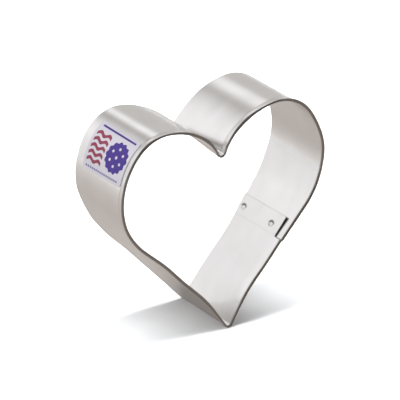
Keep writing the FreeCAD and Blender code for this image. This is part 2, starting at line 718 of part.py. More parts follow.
def make_label():
    """Build the label: its curved sheet, with the four corners rounded."""
    body = new_body("label")
    sketch = new_sketch(body, "label_plan", "XY_Plane")
    draw_label_plan(sketch)
    set_offset(sketch, z="strip_depth - label_rim_margin - label_width")
    blank = body.newObject("PartDesign::Pad", "label_blank")
    blank.Profile = sketch
    blank.setExpression("Length", cells("label_width"))
    doc.recompute()
    corners = [
        f"Edge{number}" for number, edge in enumerate(blank.Shape.Edges, start=1)
        if edge.Length < 2 * size("label_thickness")
    ]
    rounded = body.newObject("PartDesign::Fillet", "label_corners")
    rounded.Base = (blank, corners)
    rounded.setExpression("Radius", cells("label_corner_radius"))
    body.Tip = rounded
    return body


# The assembly
def centre_on_origin(bodies, band):
    """Place every body so that the middle of the cutter's plan lies on the origin."""
    box = band.Shape.optimalBoundingBox(False, False)
    shift = FreeCAD.Vector(-box.Center.x, -box.Center.y, 0)
    for body in bodies:
        body.Placement = FreeCAD.Placement(shift, FreeCAD.Rotation())
    doc.recompute()


def check_document(bodies):
    """Stop if an object failed to rebuild, or a body has no valid single solid."""
    for item in doc.Objects:
        if "Invalid" in item.State or "Error" in item.State:
            raise RuntimeError(f"{item.Label} failed: {item.State}")
    for body in bodies:
        shape = body.Shape
        if shape.isNull() or not shape.isValid() or len(shape.Solids) != 1:
            raise RuntimeError(f"{body.Label} is not one valid solid")


def main():
    """Build the pieces, check them and write each to its own file."""
    band = make_band()
    doc.recompute()
    bodies = [band]
    bodies += [make_weld(label, height) for label, height in weld_heights().items()]
    bodies.append(make_label())
    doc.recompute()
    centre_on_origin(bodies, band)
    check_document(bodies)
    os.makedirs("parts", exist_ok=True)
    for body in bodies:
        box = body.Shape.optimalBoundingBox(False, False)
        body.Shape.exportStep(os.path.join("parts", f"{body.Label}.step"))
        print(f"{body.Label}: {box.XLength:.2f} x {box.YLength:.2f} x {box.ZLength:.2f} mm, "
              f"{body.Shape.Volume:.3f} mm3")


main()
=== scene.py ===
"""Heart cookie cutter of hemmed tinplate: its looks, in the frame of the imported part.

Lengths are in metres. The cutting edge lies at z = 0, the hemmed rim is up, and the heart's point is
towards -Y. The photo shows the cutter standing on its point, so the floor here is the plane under it.
"""

import logging
import math
from dataclasses import dataclass, field
from enum import Enum, IntEnum

import bpy
import numpy as np
from mathutils import Matrix, Vector


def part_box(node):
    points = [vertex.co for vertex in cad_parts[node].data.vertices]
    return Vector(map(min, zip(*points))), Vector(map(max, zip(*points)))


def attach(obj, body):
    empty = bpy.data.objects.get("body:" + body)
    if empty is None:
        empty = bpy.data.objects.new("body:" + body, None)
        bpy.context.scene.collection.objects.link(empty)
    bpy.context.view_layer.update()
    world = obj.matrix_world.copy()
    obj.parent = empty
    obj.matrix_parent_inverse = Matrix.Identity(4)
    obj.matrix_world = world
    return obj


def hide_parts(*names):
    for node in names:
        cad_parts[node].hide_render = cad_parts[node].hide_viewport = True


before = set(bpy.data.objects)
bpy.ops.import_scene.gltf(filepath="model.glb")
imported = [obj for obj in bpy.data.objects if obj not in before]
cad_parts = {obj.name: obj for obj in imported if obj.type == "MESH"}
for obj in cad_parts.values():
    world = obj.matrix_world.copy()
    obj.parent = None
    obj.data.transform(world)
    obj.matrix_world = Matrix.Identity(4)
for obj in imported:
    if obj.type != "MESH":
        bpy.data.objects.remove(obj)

LOG = logging.getLogger("heart_cutter")
MM = 0.001
SHARP = math.radians(34)
Span = tuple[float, float]
Triple = tuple[float, float, float]
Colour = Triple


class Run(IntEnum):
    """The pieces of the strip's path, counter-clockwise from its outer end to the end of its tongue."""

    FLANK = 0
    SIDE = 1
    SHOULDER = 2
    LOBE = 3
    CLEFT = 4
    LEFT_LOBE = 5
    LEFT_SHOULDER = 6
    LEFT_SIDE = 7
    LEFT_FLANK = 8
    LEFT_FLARE = 9
    LEFT_POINT = 10
    POINT_BEND = 11
    RIGHT_POINT = 12
    RIGHT_FLARE = 13
    LOWER_FLANK = 14
    TONGUE = 15


class Slot(Enum):
    """The finishes that the part's record names."""

    TINPLATE = "tinplate"
    WELD = "weld_metal"
    LABEL = "label_stock"


class Layer(Enum):
    """Names of the layers of data that the meshes carry for their materials."""

    UV = "strip_mm"
    PAINTED_SHADE = "fold"
    HEAT_AND_SHADE = "weld_heat"


class Edge(Enum):
    """The two long edges of the strip."""

    CUTTING = "cutting edge"
    RIM = "hemmed rim"


def smoothstep(low: float, high: float, value: np.ndarray) -> np.ndarray:
    """Rise smoothly from 0 at low to 1 at high."""
    t = np.clip((value - low) / (high - low), 0, 1)
    return t * t * (3 - 2 * t)


@dataclass(frozen=True)
class ElectrodeMark:
    """The dent and the tint that an electrode leaves: a ring from the heating, darkened further on one
    side as painted shade; places in it are shares of its radius.
    """

    radius: float = 1.0 * MM
    depth: float = 0.17 * MM
    flat: float = 0.5
    ring: Span = (1.14, 0.12)
    ring_height: float = 0.015 * MM
    tint_ring: Span = (0.72, 0.32)
    # Painted shade: the ring darkens across the dent towards one side, and keeps only the least share on
    # the other.
    shade_side: Span = (-0.35, 0.55)
    tint_least: float = 0.12

    def dent(self, away: np.ndarray) -> np.ndarray:
        """Find the dent's depth: a bowl with a flat floor, less a faint raised ring with a bell's section.

        Args:
            away: Distances from the centre.

        Returns:
            The depths.
        """
        share = away / self.radius
        middle, width = self.ring
        raised = self.ring_height * np.exp(-((share - middle) / width) ** 2)
        return self.depth * (1 - smoothstep(self.flat, 1.0, share)) - raised

    def tint(self, along: np.ndarray, up: np.ndarray) -> np.ndarray:
        """Find how much the tin is darkened: a ring with a bell's section that heating left, darker at one
        side as painted shade.

        Args:
            along: Distances from the centre along the strip.
            up: Distances from the centre across the strip.

        Returns:
            The tints, up to 1.
        """
        middle, width = self.tint_ring
        ring = np.exp(-((np.hypot(along, up) / self.radius - middle) / width) ** 2)
        side = smoothstep(*self.shade_side, along / self.radius)
        return ring * (self.tint_least + (1 - self.tint_least) * side)


@dataclass(frozen=True)
class StripSizes:
    """Sizes of the strip, its seam and its label, in metres and radians."""

    depth: float = 25.4 * MM
    sheet: float = 0.3 * MM
    hem_width: float = 2.2 * MM
    hem_gap: float = 0.2 * MM
    cleft_half_angle: float = math.radians(31)
    cleft_bend: float = 0.25 * MM
    cleft_pinch: float = 4.0 * MM
    lobe: float = 24.2 * MM
    lobe_turn: float = math.radians(50)
    shoulder: float = 12.5 * MM
    shoulder_turn: float = math.radians(67)
    crown_pinches: tuple[Span, Span] = ((57.0 * MM, 6.0 * MM), (98.5 * MM, 5.0 * MM))
    side: float = 22.4 * MM
    flank_angle: float = math.radians(44)
    flare: float = 45.0 * MM
    flare_length: float = 12.3 * MM
    point_half_angle: float = math.radians(32)
    point_bend: float = 0.8 * MM
    point_pinch: float = 9.0 * MM
    point_calm: float = 3.5 * MM
    edge_point_shift: float = 0.4 * MM
    seam_drop: float = 12.0 * MM
    lap_length: float = 6.5 * MM
    lap_gap: float = 0.05 * MM
    butt_gap: float = 0.03 * MM
    butt_groove: float = 0.14 * MM
    notch: float = 3.2 * MM
    tongue_spring: float = 95.0 * MM
    edge_mark: float = 0.06 * MM
    weld_radius: float = 0.85 * MM
    weld_stretch: float = 1.35
    mark: ElectrodeMark = ElectrodeMark()
    edge_weld_setback: float = 2.85 * MM
    edge_weld_height: float = 2.4 * MM
    hem_weld_setback: float = 2.6 * MM
    hem_weld_height: float = 17.6 * MM
    label_height: float = 15.0 * MM
    label_width: float = 19.0 * MM
    label_margin: float = 2.9 * MM
    label_shift: float = 0.6 * MM
    label_corner: float = 1.0 * MM

    @property
    def hem_thickness(self) -> float:
        """Thickness of the rim: wall, gap and hem."""
        return 2 * self.sheet + self.hem_gap

    @property
    def hem_tip(self) -> float:
        """Height of the hem's lower margin."""
        return self.depth - self.hem_width

    @property
    def tongue_top(self) -> float:
        """Height of the tongue's upper margin, where the hem was notched off."""
        return self.depth - self.notch

    @property
    def lap_offset(self) -> float:
        """How far the tongue's inner face lies inside the outer end's inner face."""
        return self.sheet + self.lap_gap

    @property
    def weld_places(self) -> tuple[Span, Span]:
        """Distance from the outer end and height of the edge-side and the hem-side weld."""
        edge_side = (self.edge_weld_setback, self.edge_weld_height)
        return edge_side, (self.hem_weld_setback, self.hem_weld_height)


@dataclass(frozen=True)
class Swell:
    """A place where the strip stands outwards of its even shape, in millimetres along it."""

    edge: Edge
    centre: float
    width: float
    amount: float
    pointed: bool = False

    def at(self, off: np.ndarray) -> np.ndarray:
        """Find its height at an offset from its centre: a round bell, or two slopes to a point."""
        far = np.abs(off) / (self.width * MM)
        return self.amount * MM * np.exp(-far if self.pointed else -far ** 2)


CLEFT_AT = 76.87
SWELLS = (
    Swell(Edge.CUTTING, 206.5, 9.5, 0.85),
    Swell(Edge.CUTTING, 18.5, 7.0, -0.75),
    Swell(Edge.CUTTING, 62.0, 12.0, 0.55),
    Swell(Edge.CUTTING, CLEFT_AT, 6.0, 1.0, pointed=True),
    Swell(Edge.CUTTING, 101.0, 7.0, 0.3),
    Swell(Edge.CUTTING, 134.5, 5.5, -0.55),
    Swell(Edge.CUTTING, 148.0, 5.0, 0.36),
    Swell(Edge.RIM, 8.0, 26.0, 0.18),
    Swell(Edge.RIM, 30.0, 5.0, 0.4),
    Swell(Edge.RIM, CLEFT_AT, 2.9, -1.2, pointed=True),
    Swell(Edge.RIM, 103.0, 11.0, -0.32),
    Swell(Edge.RIM, 110.0, 11.0, -1.05),
    Swell(Edge.RIM, 131.5, 5.5, 0.25),
    Swell(Edge.RIM, 145.0, 26.0, -0.2),
    Swell(Edge.RIM, 151.0, 6.5, -0.45),
    Swell(Edge.RIM, 202.0, 6.0, 0.22),
)


@dataclass
class PlanLine:
    """An outline in plan: straight and round pieces, each tangent to the one before.

    Plan points are complex numbers with the cleft's sharp corner at zero. A bend to the left is positive.
    """

    start: complex
    heading: float
    lengths: np.ndarray
    bends: np.ndarray
    marks: np.ndarray = field(init=False)
    headings: np.ndarray = field(init=False)
    starts: np.ndarray = field(init=False)

    def __post_init__(self) -> None:
        """Lay the pieces end to end."""
        turns = self.lengths * self.bends
        self.marks = np.concatenate([[0.0], np.cumsum(self.lengths)])
        self.headings = self.heading + np.concatenate([[0.0], np.cumsum(turns)[:-1]])
        chords = self.lengths * np.sinc(turns / (2 * np.pi)) * np.exp(1j * (self.headings + turns / 2))
        self.starts = self.start + np.concatenate([[0.0], np.cumsum(chords)[:-1]])

    def at(self, piece: np.ndarray, share: np.ndarray) -> tuple[np.ndarray, np.ndarray]:
        """Find places by piece and by the share of that piece that is behind them.

        On a piece that starts at p with heading h and bends by k per metre, the point at distance d is p
        plus a chord of length d sinc(k d / 2) at heading h + k d / 2.

        Args:
            piece: Numbers of pieces.
            share: Shares of their lengths.

        Returns:
            The points and the outward directions, as complex numbers.
        """
        run = share * self.lengths[piece]
        turn = self.bends[piece] * run
        chord = run * np.sinc(turn / (2 * np.pi)) * np.exp(1j * (self.headings[piece] + turn / 2))
        return self.starts[piece] + chord, -1j * np.exp(1j * (self.headings[piece] + turn))


class HeartPath:
    """The strip's inner face: a ruled wall from the cutting edge's outline to the rim's outline.

    Both outlines have the same lobes. The rim's flanks are drawn hollow towards the point, and the cutting
    edge's flanks are straight. Places along the strip are distances along the rim from the outer end.
    """

    def __init__(self, sizes: StripSizes, top: float) -> None:
        """Work out both outlines.

        Args:
            sizes: The strip's sizes.
            top: How far the rim reaches towards +Y.
        """
        self.sizes = sizes
        z = sizes
        self.lobe_end = z.cleft_half_angle + z.lobe_turn
        self.shoulder_end = self.lobe_end + z.shoulder_turn
        lobe_centre = z.lobe * np.exp(-1j * z.cleft_half_angle)
        shoulder_centre = lobe_centre + (z.shoulder - z.lobe) * np.exp(-1j * self.lobe_end)
        self.side_centre = shoulder_centre + (z.side - z.shoulder) * np.exp(-1j * self.shoulder_end)
        self.cleft = z.cleft_bend + z.hem_thickness
        self.cleft_tangent = math.asin(lobe_centre.real / (z.lobe + self.cleft))
        self.shift = 1j * (top - (shoulder_centre.imag + z.shoulder + z.hem_thickness))
        self.rim = self.rim_line()
        self.edge = self.edge_line()
        self.marks = self.rim.marks
        self.length = float(self.marks[Run.TONGUE])

    def lobes(self, right_flank: float, left_flank: float) -> list[Span]:
        """List the arcs of the lobes, from the right flank to the left one.

        Args:
            right_flank: The right flank's angle from the mirror line.
            left_flank: The left flank's.

        Returns:
            Each arc's length and bend.
        """
        z = self.sizes
        inner = (z.lobe * (self.lobe_end - math.pi / 2 + self.cleft_tangent), 1 / z.lobe)
        shoulder = (z.shoulder * z.shoulder_turn, 1 / z.shoulder)
        turns = [math.pi + flank - self.shoulder_end for flank in (right_flank, left_flank)]
        right, left = ((z.side * turn, 1 / z.side) for turn in turns)
        hollow = (self.cleft * 2 * self.cleft_tangent, -1 / self.cleft)
        return [right, shoulder, inner, hollow, inner, shoulder, left]

    def rim_line(self) -> PlanLine:
        """Lay out the rim, with hollow flares, straight runs into the point and the springing tongue.

        Returns:
            The rim's outline, from the outer end.
        """
        z = self.sizes
        down = -1j * np.exp(-1j * z.flank_angle)
        down_point = -1j * np.exp(-1j * z.point_half_angle)
        flank_top = self.side_centre + z.side * np.exp(-1j * z.flank_angle)
        self.flare_run = z.flare * (z.flank_angle - z.point_half_angle)
        tangent = z.flare * math.tan((z.flank_angle - z.point_half_angle) / 2)
        corner_x = z.flare_length * math.sin(z.point_half_angle)
        flank_run = (flank_top.real - corner_x) / math.sin(z.flank_angle) - tangent
        flare_foot = flank_top + down * (flank_run + tangent) + down_point * tangent
        inwards = -z.lap_offset * np.exp(-1j * z.flank_angle)

        apex = flare_foot + down_point * (z.flare_length - tangent)
        step = inwards.imag / 2 - inwards.real / (2 * math.tan(z.point_half_angle))
        apex = apex + complex(-step * math.tan(z.point_half_angle), step)
        self.point_centre = apex + 1j * z.point_bend / math.sin(z.point_half_angle)
        bend_reach = z.point_bend * np.exp(-1j * z.point_half_angle)
        self.left_run = abs(-np.conj(flare_foot) - (self.point_centre - np.conj(bend_reach)))
        self.right_run = abs(flare_foot + inwards - (self.point_centre + bend_reach))
        self.outer_end = flank_top + down * z.seam_drop
        flare = (self.flare_run, -1 / z.flare)
        table = np.array([
            (z.seam_drop, 0.0),
            *self.lobes(z.flank_angle, z.flank_angle),
            (flank_run, 0.0),
            flare,
            (self.left_run, 0.0),
            (z.point_bend * (math.pi - 2 * z.point_half_angle), 1 / z.point_bend),
            (self.right_run, 0.0),
            flare,
            (flank_run - z.seam_drop - z.butt_gap, 0.0),
            (z.butt_gap + z.lap_length, 1 / z.tongue_spring),
        ])
        return PlanLine(self.outer_end + self.shift, math.pi / 2 - z.flank_angle, table[:, 0], table[:, 1])

    def edge_line(self) -> PlanLine:
        """Lay out the cutting edge, with straight flanks tangent to the sides and to the point's bend.

        A flank that passes two circles, whose centres are d apart at an angle b from the mirror line and
        whose radii differ by e, leans by b + asin(e / d).

        Returns:
            The cutting edge's outline, from below the outer end.
        """
        z = self.sizes
        centre = self.point_centre + z.edge_point_shift
        spans = (self.side_centre - centre, self.side_centre + np.conj(centre))
        steps = (z.side - z.point_bend - z.lap_offset, z.side - z.point_bend)
        right, left = (
            math.atan2(span.real, span.imag) + math.asin(step / abs(span))
            for span, step in zip(spans, steps)
        )
        runs = [math.sqrt(abs(span) ** 2 - step ** 2) for span, step in zip(spans, steps)]
        flank_top = self.side_centre + z.side * np.exp(-1j * right)
        rim_down = -1j * np.exp(-1j * z.flank_angle)
        drop = ((self.outer_end - flank_top) * np.conj(rim_down)).real / math.cos(z.flank_angle - right)
        table = np.array([
            (drop, 0.0),
            *self.lobes(right, left),
            (runs[1] - self.flare_run - self.left_run, 0.0),
            (self.flare_run, 0.0),
            (self.left_run, 0.0),
            (z.point_bend * (math.pi - right - left), 1 / z.point_bend),
            (self.right_run, 0.0),
            (self.flare_run, 0.0),
            (runs[0] - drop - z.butt_gap - self.flare_run - self.right_run, 0.0),
            (z.butt_gap + z.lap_length, 0.0),
        ])
        end = flank_top - 1j * np.exp(-1j * right) * drop
        return PlanLine(end + self.shift, math.pi / 2 - right, table[:, 0], table[:, 1])

    def middle(self, run: Run) -> float:
        """Find the middle of a piece of the path."""
        return float((self.marks[run] + self.marks[run + 1]) / 2)

    def pinches(self) -> list[Span]:
        """List where bending flattened the fold: at the cleft, the point and the tops of the lobes.

        Returns:
            The places, each with how far along the strip it reaches.
        """
        z = self.sizes
        corners = [(self.middle(Run.CLEFT), z.cleft_pinch), (self.middle(Run.POINT_BEND), z.point_pinch)]
        return corners + list(z.crown_pinches)

    def splay(self, distance: np.ndarray, height: np.ndarray) -> np.ndarray:
        """Find how far the sheet stands outwards of the even strip, as bending by hand left it.

        Each swell's share falls evenly from one edge of the strip to the other, and it dies out at the
        heart's point.

        Args:
            distance: Distances from the outer end.
            height: Heights above the cutting edge.

        Returns:
            The distances outwards.
        """
        period = self.length + self.sizes.butt_gap
        share = height / self.sizes.depth
        total = np.zeros(np.broadcast(distance, height).shape)
        for swell in SWELLS:
            off = (distance - swell.centre * MM + period / 2) % period - period / 2
            total = total + swell.at(off) * (share if swell.edge is Edge.RIM else 1 - share)
        from_point = (distance - self.middle(Run.POINT_BEND)) / self.sizes.point_calm
        return total * (1 - np.exp(-from_point ** 2))

    def place(self, distance: np.ndarray, out: np.ndarray, height: np.ndarray) -> np.ndarray:
        """Find points of the bent strip.

        A point lies between the two outlines, at the same share of the same piece of each, as far up from
        the cutting edge to the notch's depth as its height is; above that it lies on the rim's outline.

        Args:
            distance: Distances from the outer end.
            out: Distances outwards from the strip's inner face.
            height: Heights above the cutting edge.

        Returns:
            The points, with the shape of the three together and three columns more.
        """
        distance, out, height = np.broadcast_arrays(distance, out, height)
        piece = np.clip(np.searchsorted(self.marks, distance, side="right") - 1, 0, Run.TONGUE)
        share = (distance - self.marks[piece]) / self.rim.lengths[piece]
        above, above_out = self.rim.at(piece, share)
        below, below_out = self.edge.at(piece, share)
        rise = np.clip(height / self.sizes.tongue_top, 0, 1)
        outward = below_out + (above_out - below_out) * rise
        outward = outward / np.abs(outward)
        plan = below + (above - below) * rise + outward * (out + self.splay(distance, height))
        return np.stack([plan.real, plan.imag, height], -1)

    def stations(self, step: float, turn: float) -> np.ndarray:
        """Choose distances for cross-sections, from the outer end to the tongue's root.

        Args:
            step: The most that two may be apart.
            turn: The most that the path may turn between two.

        Returns:
            The distances, with one at each end of every piece.
        """
        lengths, bends = self.rim.lengths[:Run.TONGUE], self.rim.bends[:Run.TONGUE]
        counts = np.ceil(np.maximum(lengths / step, lengths * np.abs(bends) / turn)).astype(int)
        pieces = zip(self.marks, self.marks[1:], counts)
        runs = [np.linspace(a, b, n, endpoint=False) for a, b, n in pieces]
        return np.concatenate([*runs, [self.length]])


def new_mesh(name: str, points: np.ndarray, faces: list, uv: np.ndarray) -> bpy.types.Object:
    """Make a smooth object that is sharp only at its hard edges.

    Args:
        name: Its name.
        points: Its vertices, three numbers each.
        faces: Lists of vertex numbers.
        uv: A flat place in millimetres for each vertex.

    Returns:
        The object, in the scene.
    """
    mesh = bpy.data.meshes.new(name)
    mesh.from_pydata(points.reshape(-1, 3).tolist(), [], faces)
    corners = np.empty(len(mesh.loops), dtype=np.int32)
    mesh.loops.foreach_get("vertex_index", corners)
    layer = mesh.uv_layers.new(name=Layer.UV.value)
    layer.data.foreach_set("uv", uv.reshape(-1, 2)[corners].astype(np.float32).ravel())
    mesh.shade_smooth()
    mesh.set_sharp_from_angle(angle=SHARP)
    mesh.validate()
    piece = bpy.data.objects.new(name, mesh)
    bpy.context.scene.collection.objects.link(piece)
    return piece


def dress(piece: bpy.types.Object, material: bpy.types.Material, slot: Slot, node: str) -> None:
    """Give a piece its finish and its place in the part.

    Args:
        piece: The finished object.
        material: Its look.
        slot: The record's finish that it takes.
        node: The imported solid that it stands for.
    """
    piece.data.materials.append(material)
    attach(piece, "root")
    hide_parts(node)
    LOG.info("%s: %d faces in %s", piece.name, len(piece.data.polygons), slot.value)


def tube(grid: np.ndarray) -> np.ndarray:
    """Quads between neighbouring closed rings of vertex numbers, one ring a row."""
    after = np.roll(grid, -1, axis=1)
    return np.stack([grid[:-1], after[:-1], after[1:], grid[1:]], -1).reshape(-1, 4)


def cap(first: np.ndarray, second: np.ndarray) -> np.ndarray:
    """Quads between two lines of vertex numbers."""
    return np.stack([first[:-1], first[1:], second[1:], second[:-1]], -1)


def patch(grid: np.ndarray) -> np.ndarray:
    """Quads between neighbouring rows and columns of vertex numbers."""
    return np.stack([grid[:-1, :-1], grid[1:, :-1], grid[1:, 1:], grid[:-1, 1:]], -1).reshape(-1, 4)


def margin(grid: np.ndarray) -> np.ndarray:
    """Vertex numbers round the margin of a grid, in order."""
    return np.concatenate([grid[0, :-1], grid[:-1, -1], grid[-1, :0:-1], grid[:0:-1, 0]])


def flat_places(along: np.ndarray, across: np.ndarray) -> np.ndarray:
    """Pair every distance along with every distance across, both in metres, as places in millimetres."""
    return np.stack(np.broadcast_arrays(along[:, None], across[None, :]), -1).reshape(-1, 2) / MM


@dataclass
class Band:
    """The hemmed strip, bent to a heart, with the notched tongue that laps inside its outer end.

    The sheet's section is a middle line (up the wall, round the fold, down the hem) with a skin on each
    side. The strip carries that section along the path; the tongue carries its lower rows on beyond the
    root, so the two share their vertices there.
    """

    path: HeartPath
    node: str = "heart_band"
    edge_break: float = 0.05 * MM
    edge_row: float = 0.4 * MM
    middle_rows: Span = (5.5 * MM, 14.5 * MM)
    upper_row: float = 19.7 * MM
    row_counts: tuple[int, int, int] = (6, 5, 3)
    crevice_rows: tuple[float, ...] = (-0.85, -0.7, -0.55, -0.4, -0.2, 0.0)
    weld_zone: float = 1.35
    weld_rows: int = 27
    seam_reach: float = 8.0 * MM
    seam_margin: float = 1.4
    seam_rings: int = 45
    groove_rings: Triple = (0.3, 0.6, 1.0)
    bevel_above: float = 0.1 * MM
    fold_thickness: float = 1.0 * MM
    fold_steps: int = 18
    # Painted shade darkens the fold's crest between these depths below the top.
    shaded_crest: Span = (0.6 * MM, 0.3 * MM)
    pinch: float = 0.5
    hem_seat: float = 0.03 * MM
    hem_rows: tuple[float, ...] = (0.3, 0.6, 0.85, 0.93, 0.98, 1.0)
    tip_trim: Triple = (0.02, 0.05, 0.11)
    # Painted shade on the hem's tip, and in a line of this strength and width below the hem.
    tip_shade: tuple[float, ...] = (0.2, 0.6, 0.8, 0.8)
    crevice_shade: float = 0.35
    crevice_below: float = 0.5 * MM
    crevice_width: float = 0.2 * MM
    ring_step: float = 1.5 * MM
    ring_turn: float = math.radians(2.2)
    tongue_rings: int = 66
    tongue_round: float = 0.3 * MM
    round_rings: int = 9
    tongue_droop: float = 0.8
    margin_spring: float = 0.06 * MM
    margin_band: Span = (-3.4 * MM, 0.6 * MM)
    lean_runs: Span = (1.0 * MM, 0.5 * MM)
    skin_shift: float = 60.0 * MM

    def rows(self) -> np.ndarray:
        """Choose the heights of the wall's rows, closer together round the welds and under the hem's tip.

        Returns:
            The heights, from the cutting edge up.
        """
        z = self.path.sizes
        reach = self.weld_zone * z.weld_stretch * z.mark.radius
        welds = [np.linspace(h - reach, h + reach, self.weld_rows) for _, h in z.weld_places]
        plain = [0.0, self.edge_break, self.edge_row, *np.linspace(*self.middle_rows, self.row_counts[0])]
        upper = np.linspace(self.upper_row, z.tongue_top, self.row_counts[1])
        crevice = z.hem_tip + np.array(self.crevice_rows) * MM
        fold_foot = z.depth - self.fold_thickness / 2
        top = np.linspace(z.hem_tip + self.crevice_below, fold_foot, self.row_counts[2])
        return np.sort(np.concatenate([plain, *welds, upper, crevice, top]))

    def section(self) -> tuple[np.ndarray, np.ndarray, np.ndarray]:
        """Draw the sheet's section: distance outwards and height.

        The fold is left a little open, like a drop, and the hem leans from it to the wall.

        Returns:
            The skin that starts as the wall's inner face and ends as the hem's outside, the other skin,
            and the distance along the sheet.
        """
        z = self.path.sizes
        half = z.sheet / 2
        radius = self.fold_thickness / 2 - half
        rows = self.rows()
        tip = np.array([half + z.sheet + self.hem_seat, z.hem_tip])
        centre = np.array([half + radius, rows[-1]])
        span = tip - centre
        lean = math.acos(radius / np.hypot(*span)) + math.atan2(span[1], span[0])
        angle = np.linspace(np.pi, lean, self.fold_steps + 1)[1:]
        start = centre + radius * np.array([np.cos(lean), np.sin(lean)])
        hem = start + np.array(self.hem_rows)[:, None] * (tip - start)
        out = np.concatenate([np.full(len(rows), half), centre[0] + radius * np.cos(angle), hem[:, 0]])
        up = np.concatenate([rows, centre[1] + radius * np.sin(angle), hem[:, 1]])
        side = np.concatenate([np.full(len(rows), -1.0), np.cos(angle), np.full(len(hem), math.cos(lean))])
        rise = np.concatenate([np.zeros(len(rows)), np.sin(angle), np.full(len(hem), math.sin(lean))])
        thick = np.full(len(out), half)
        thick[0] -= self.edge_break
        thick[-len(self.tip_trim):] -= np.array(self.tip_trim) * MM
        first = np.stack([out + side * thick, up + rise * thick], -1)
        second = np.stack([out - side * thick, up - rise * thick], -1)
        distance = np.concatenate([[0.0], np.cumsum(np.hypot(np.diff(out), np.diff(up)))])
        return first, second, distance

    def on_back(self, loop: np.ndarray) -> np.ndarray:
        """Tell which points of the section's loop lie on the wall's outer face."""
        return np.arange(len(loop)) >= len(loop) - len(self.rows())

    def weld_marks(self, distance: np.ndarray, height: np.ndarray) -> tuple[np.ndarray, np.ndarray]:
        """Find the two electrode marks at places of the seam.

        Args:
            distance: Distances from the outer end.
            height: Heights above the cutting edge.

        Returns:
            The depth of the marks, and how much the tin is darkened by heating and by painted shade.
        """
        z = self.path.sizes
        spots = [(distance - along, (height - up) / z.weld_stretch) for along, up in z.weld_places]
        depth = sum(z.mark.dent(np.hypot(along, up)) for along, up in spots)
        return depth, sum(z.mark.tint(along, up) for along, up in spots)

    def tongue_lean(self, along: np.ndarray, height: np.ndarray) -> np.ndarray:
        """Find how far the tongue stands inwards of its even shape, at its upper margin and past the butt.

        Args:
            along: Distances from the tongue's root.
            height: Heights above the cutting edge.

        Returns:
            The distances inwards.
        """
        z = self.path.sizes
        low, high = (z.tongue_top + off for off in self.margin_band)
        slow, quick = (smoothstep(0.0, run, along) for run in self.lean_runs)
        return self.margin_spring * slow * smoothstep(low, high, height) + z.edge_mark * quick

    def strip(self, loop: np.ndarray) -> tuple[np.ndarray, np.ndarray, np.ndarray]:
        """Carry the section's loop along the path, from the outer end to the tongue's root.

        A point lies at the path's point plus the loop's distance along the outward direction, at the
        loop's height. On the outer end the welds are pressed in from outside. The fold is flattened where
        the strip was bent hard, and above the tongue the cut ends are bevelled to a groove.

        Args:
            loop: Distances outwards and heights of the two skins, all the way round.

        Returns:
            Distances of the rings from the outer end, their points, and the welds' darkening from heating
            and painted shade.
        """
        z = self.path.sizes
        seam = np.linspace(0, z.edge_weld_setback + self.seam_margin * z.mark.radius, self.seam_rings)
        joint = z.butt_groove * np.array(self.groove_rings)
        even = self.path.stations(self.ring_step, self.ring_turn)
        stations = np.unique(np.concatenate([even, seam, joint, self.path.length - joint]).round(9))
        stations[-1] = self.path.length
        at_seam = self.on_back(loop)[None, :] * (stations[:, None] < self.seam_reach)
        pressed, heat_and_shade = (m * at_seam for m in self.weld_marks(stations[:, None], loop[None, :, 1]))
        to_joint = np.minimum(stations, self.path.length - stations)
        groove = np.clip(z.butt_groove - to_joint, 0, None)[:, None]
        inner = np.arange(len(loop)) < len(self.rows())
        bevelled = inner & (loop[:, 1] > z.tongue_top + self.bevel_above)
        pinch = sum(np.exp(-((stations - at) / reach) ** 2) for at, reach in self.path.pinches())[:, None]
        outs = np.repeat(loop[None, :, 0], len(stations), 0)
        outs = outs - self.pinch * pinch * np.clip(outs - z.sheet, 0, None) - pressed + groove * bevelled
        return stations, self.path.place(stations[:, None], outs, loop[None, :, 1]), heat_and_shade

    def tongue(self, sheet: np.ndarray) -> tuple[np.ndarray, np.ndarray, np.ndarray]:
        """Carry the section's lower rows on from the root to the tongue's end.

        A point lies on the path as the strip's do, less the tongue's lean. The welds are pressed in from
        inside, and the inner face turns down to the end in a quarter circle.

        Args:
            sheet: Distances outwards and heights, up the inner face and down the outer one.

        Returns:
            Distances of the rings from the root, their points, and the welds' darkening from heating and
            painted shade.
        """
        z = self.path.sizes
        end = z.butt_gap + z.lap_length
        rounding = end - self.tongue_round * (1 - np.sin(np.linspace(0, np.pi / 2, self.round_rings)))
        run = np.concatenate([np.linspace(0, rounding[0], self.tongue_rings)[1:-1], rounding])
        fall = np.clip((run - rounding[0]) / self.tongue_round, 0, 1)
        droop = self.tongue_droop * z.sheet * (1 - np.sqrt(1 - fall ** 2))
        pressed, heat_and_shade = self.weld_marks(run[:, None] - z.butt_gap, sheet[None, :, 1])
        inner = np.arange(len(sheet)) < len(sheet) // 2
        outs = sheet[None, :, 0] - self.tongue_lean(run[:, None], sheet[None, :, 1])
        outs = outs + (pressed + droop[:, None]) * inner
        return run, self.path.place((self.path.length + run)[:, None], outs, sheet[None, :, 1]), heat_and_shade

    def painted_darkening(self, loop: np.ndarray, rings: int, points: np.ndarray) -> np.ndarray:
        """Find where painted shade darkens the tin: on the fold's crest, on the hem's tip and in a line
        below it.

        Args:
            loop: Distances outwards and heights of the two skins, all the way round.
            rings: How many rings the strip has.
            points: All vertices, the strip's first.

        Returns:
            A number for each vertex, 0 where the tin is bright.
        """
        z = self.path.sizes
        off = loop[:, 1] - z.depth + z.hem_width + self.crevice_below
        line_shade = self.crevice_shade * np.exp(-(off / self.crevice_width) ** 2) * self.on_back(loop)
        half = len(loop) // 2
        line_shade[half - len(self.tip_shade):half] = self.tip_shade
        low, high = (z.depth - below for below in self.shaded_crest)
        crest_shade = smoothstep(low, high, points[:, 2])
        crest_shade[:rings * len(loop)] += np.tile(line_shade, rings)
        return crest_shade

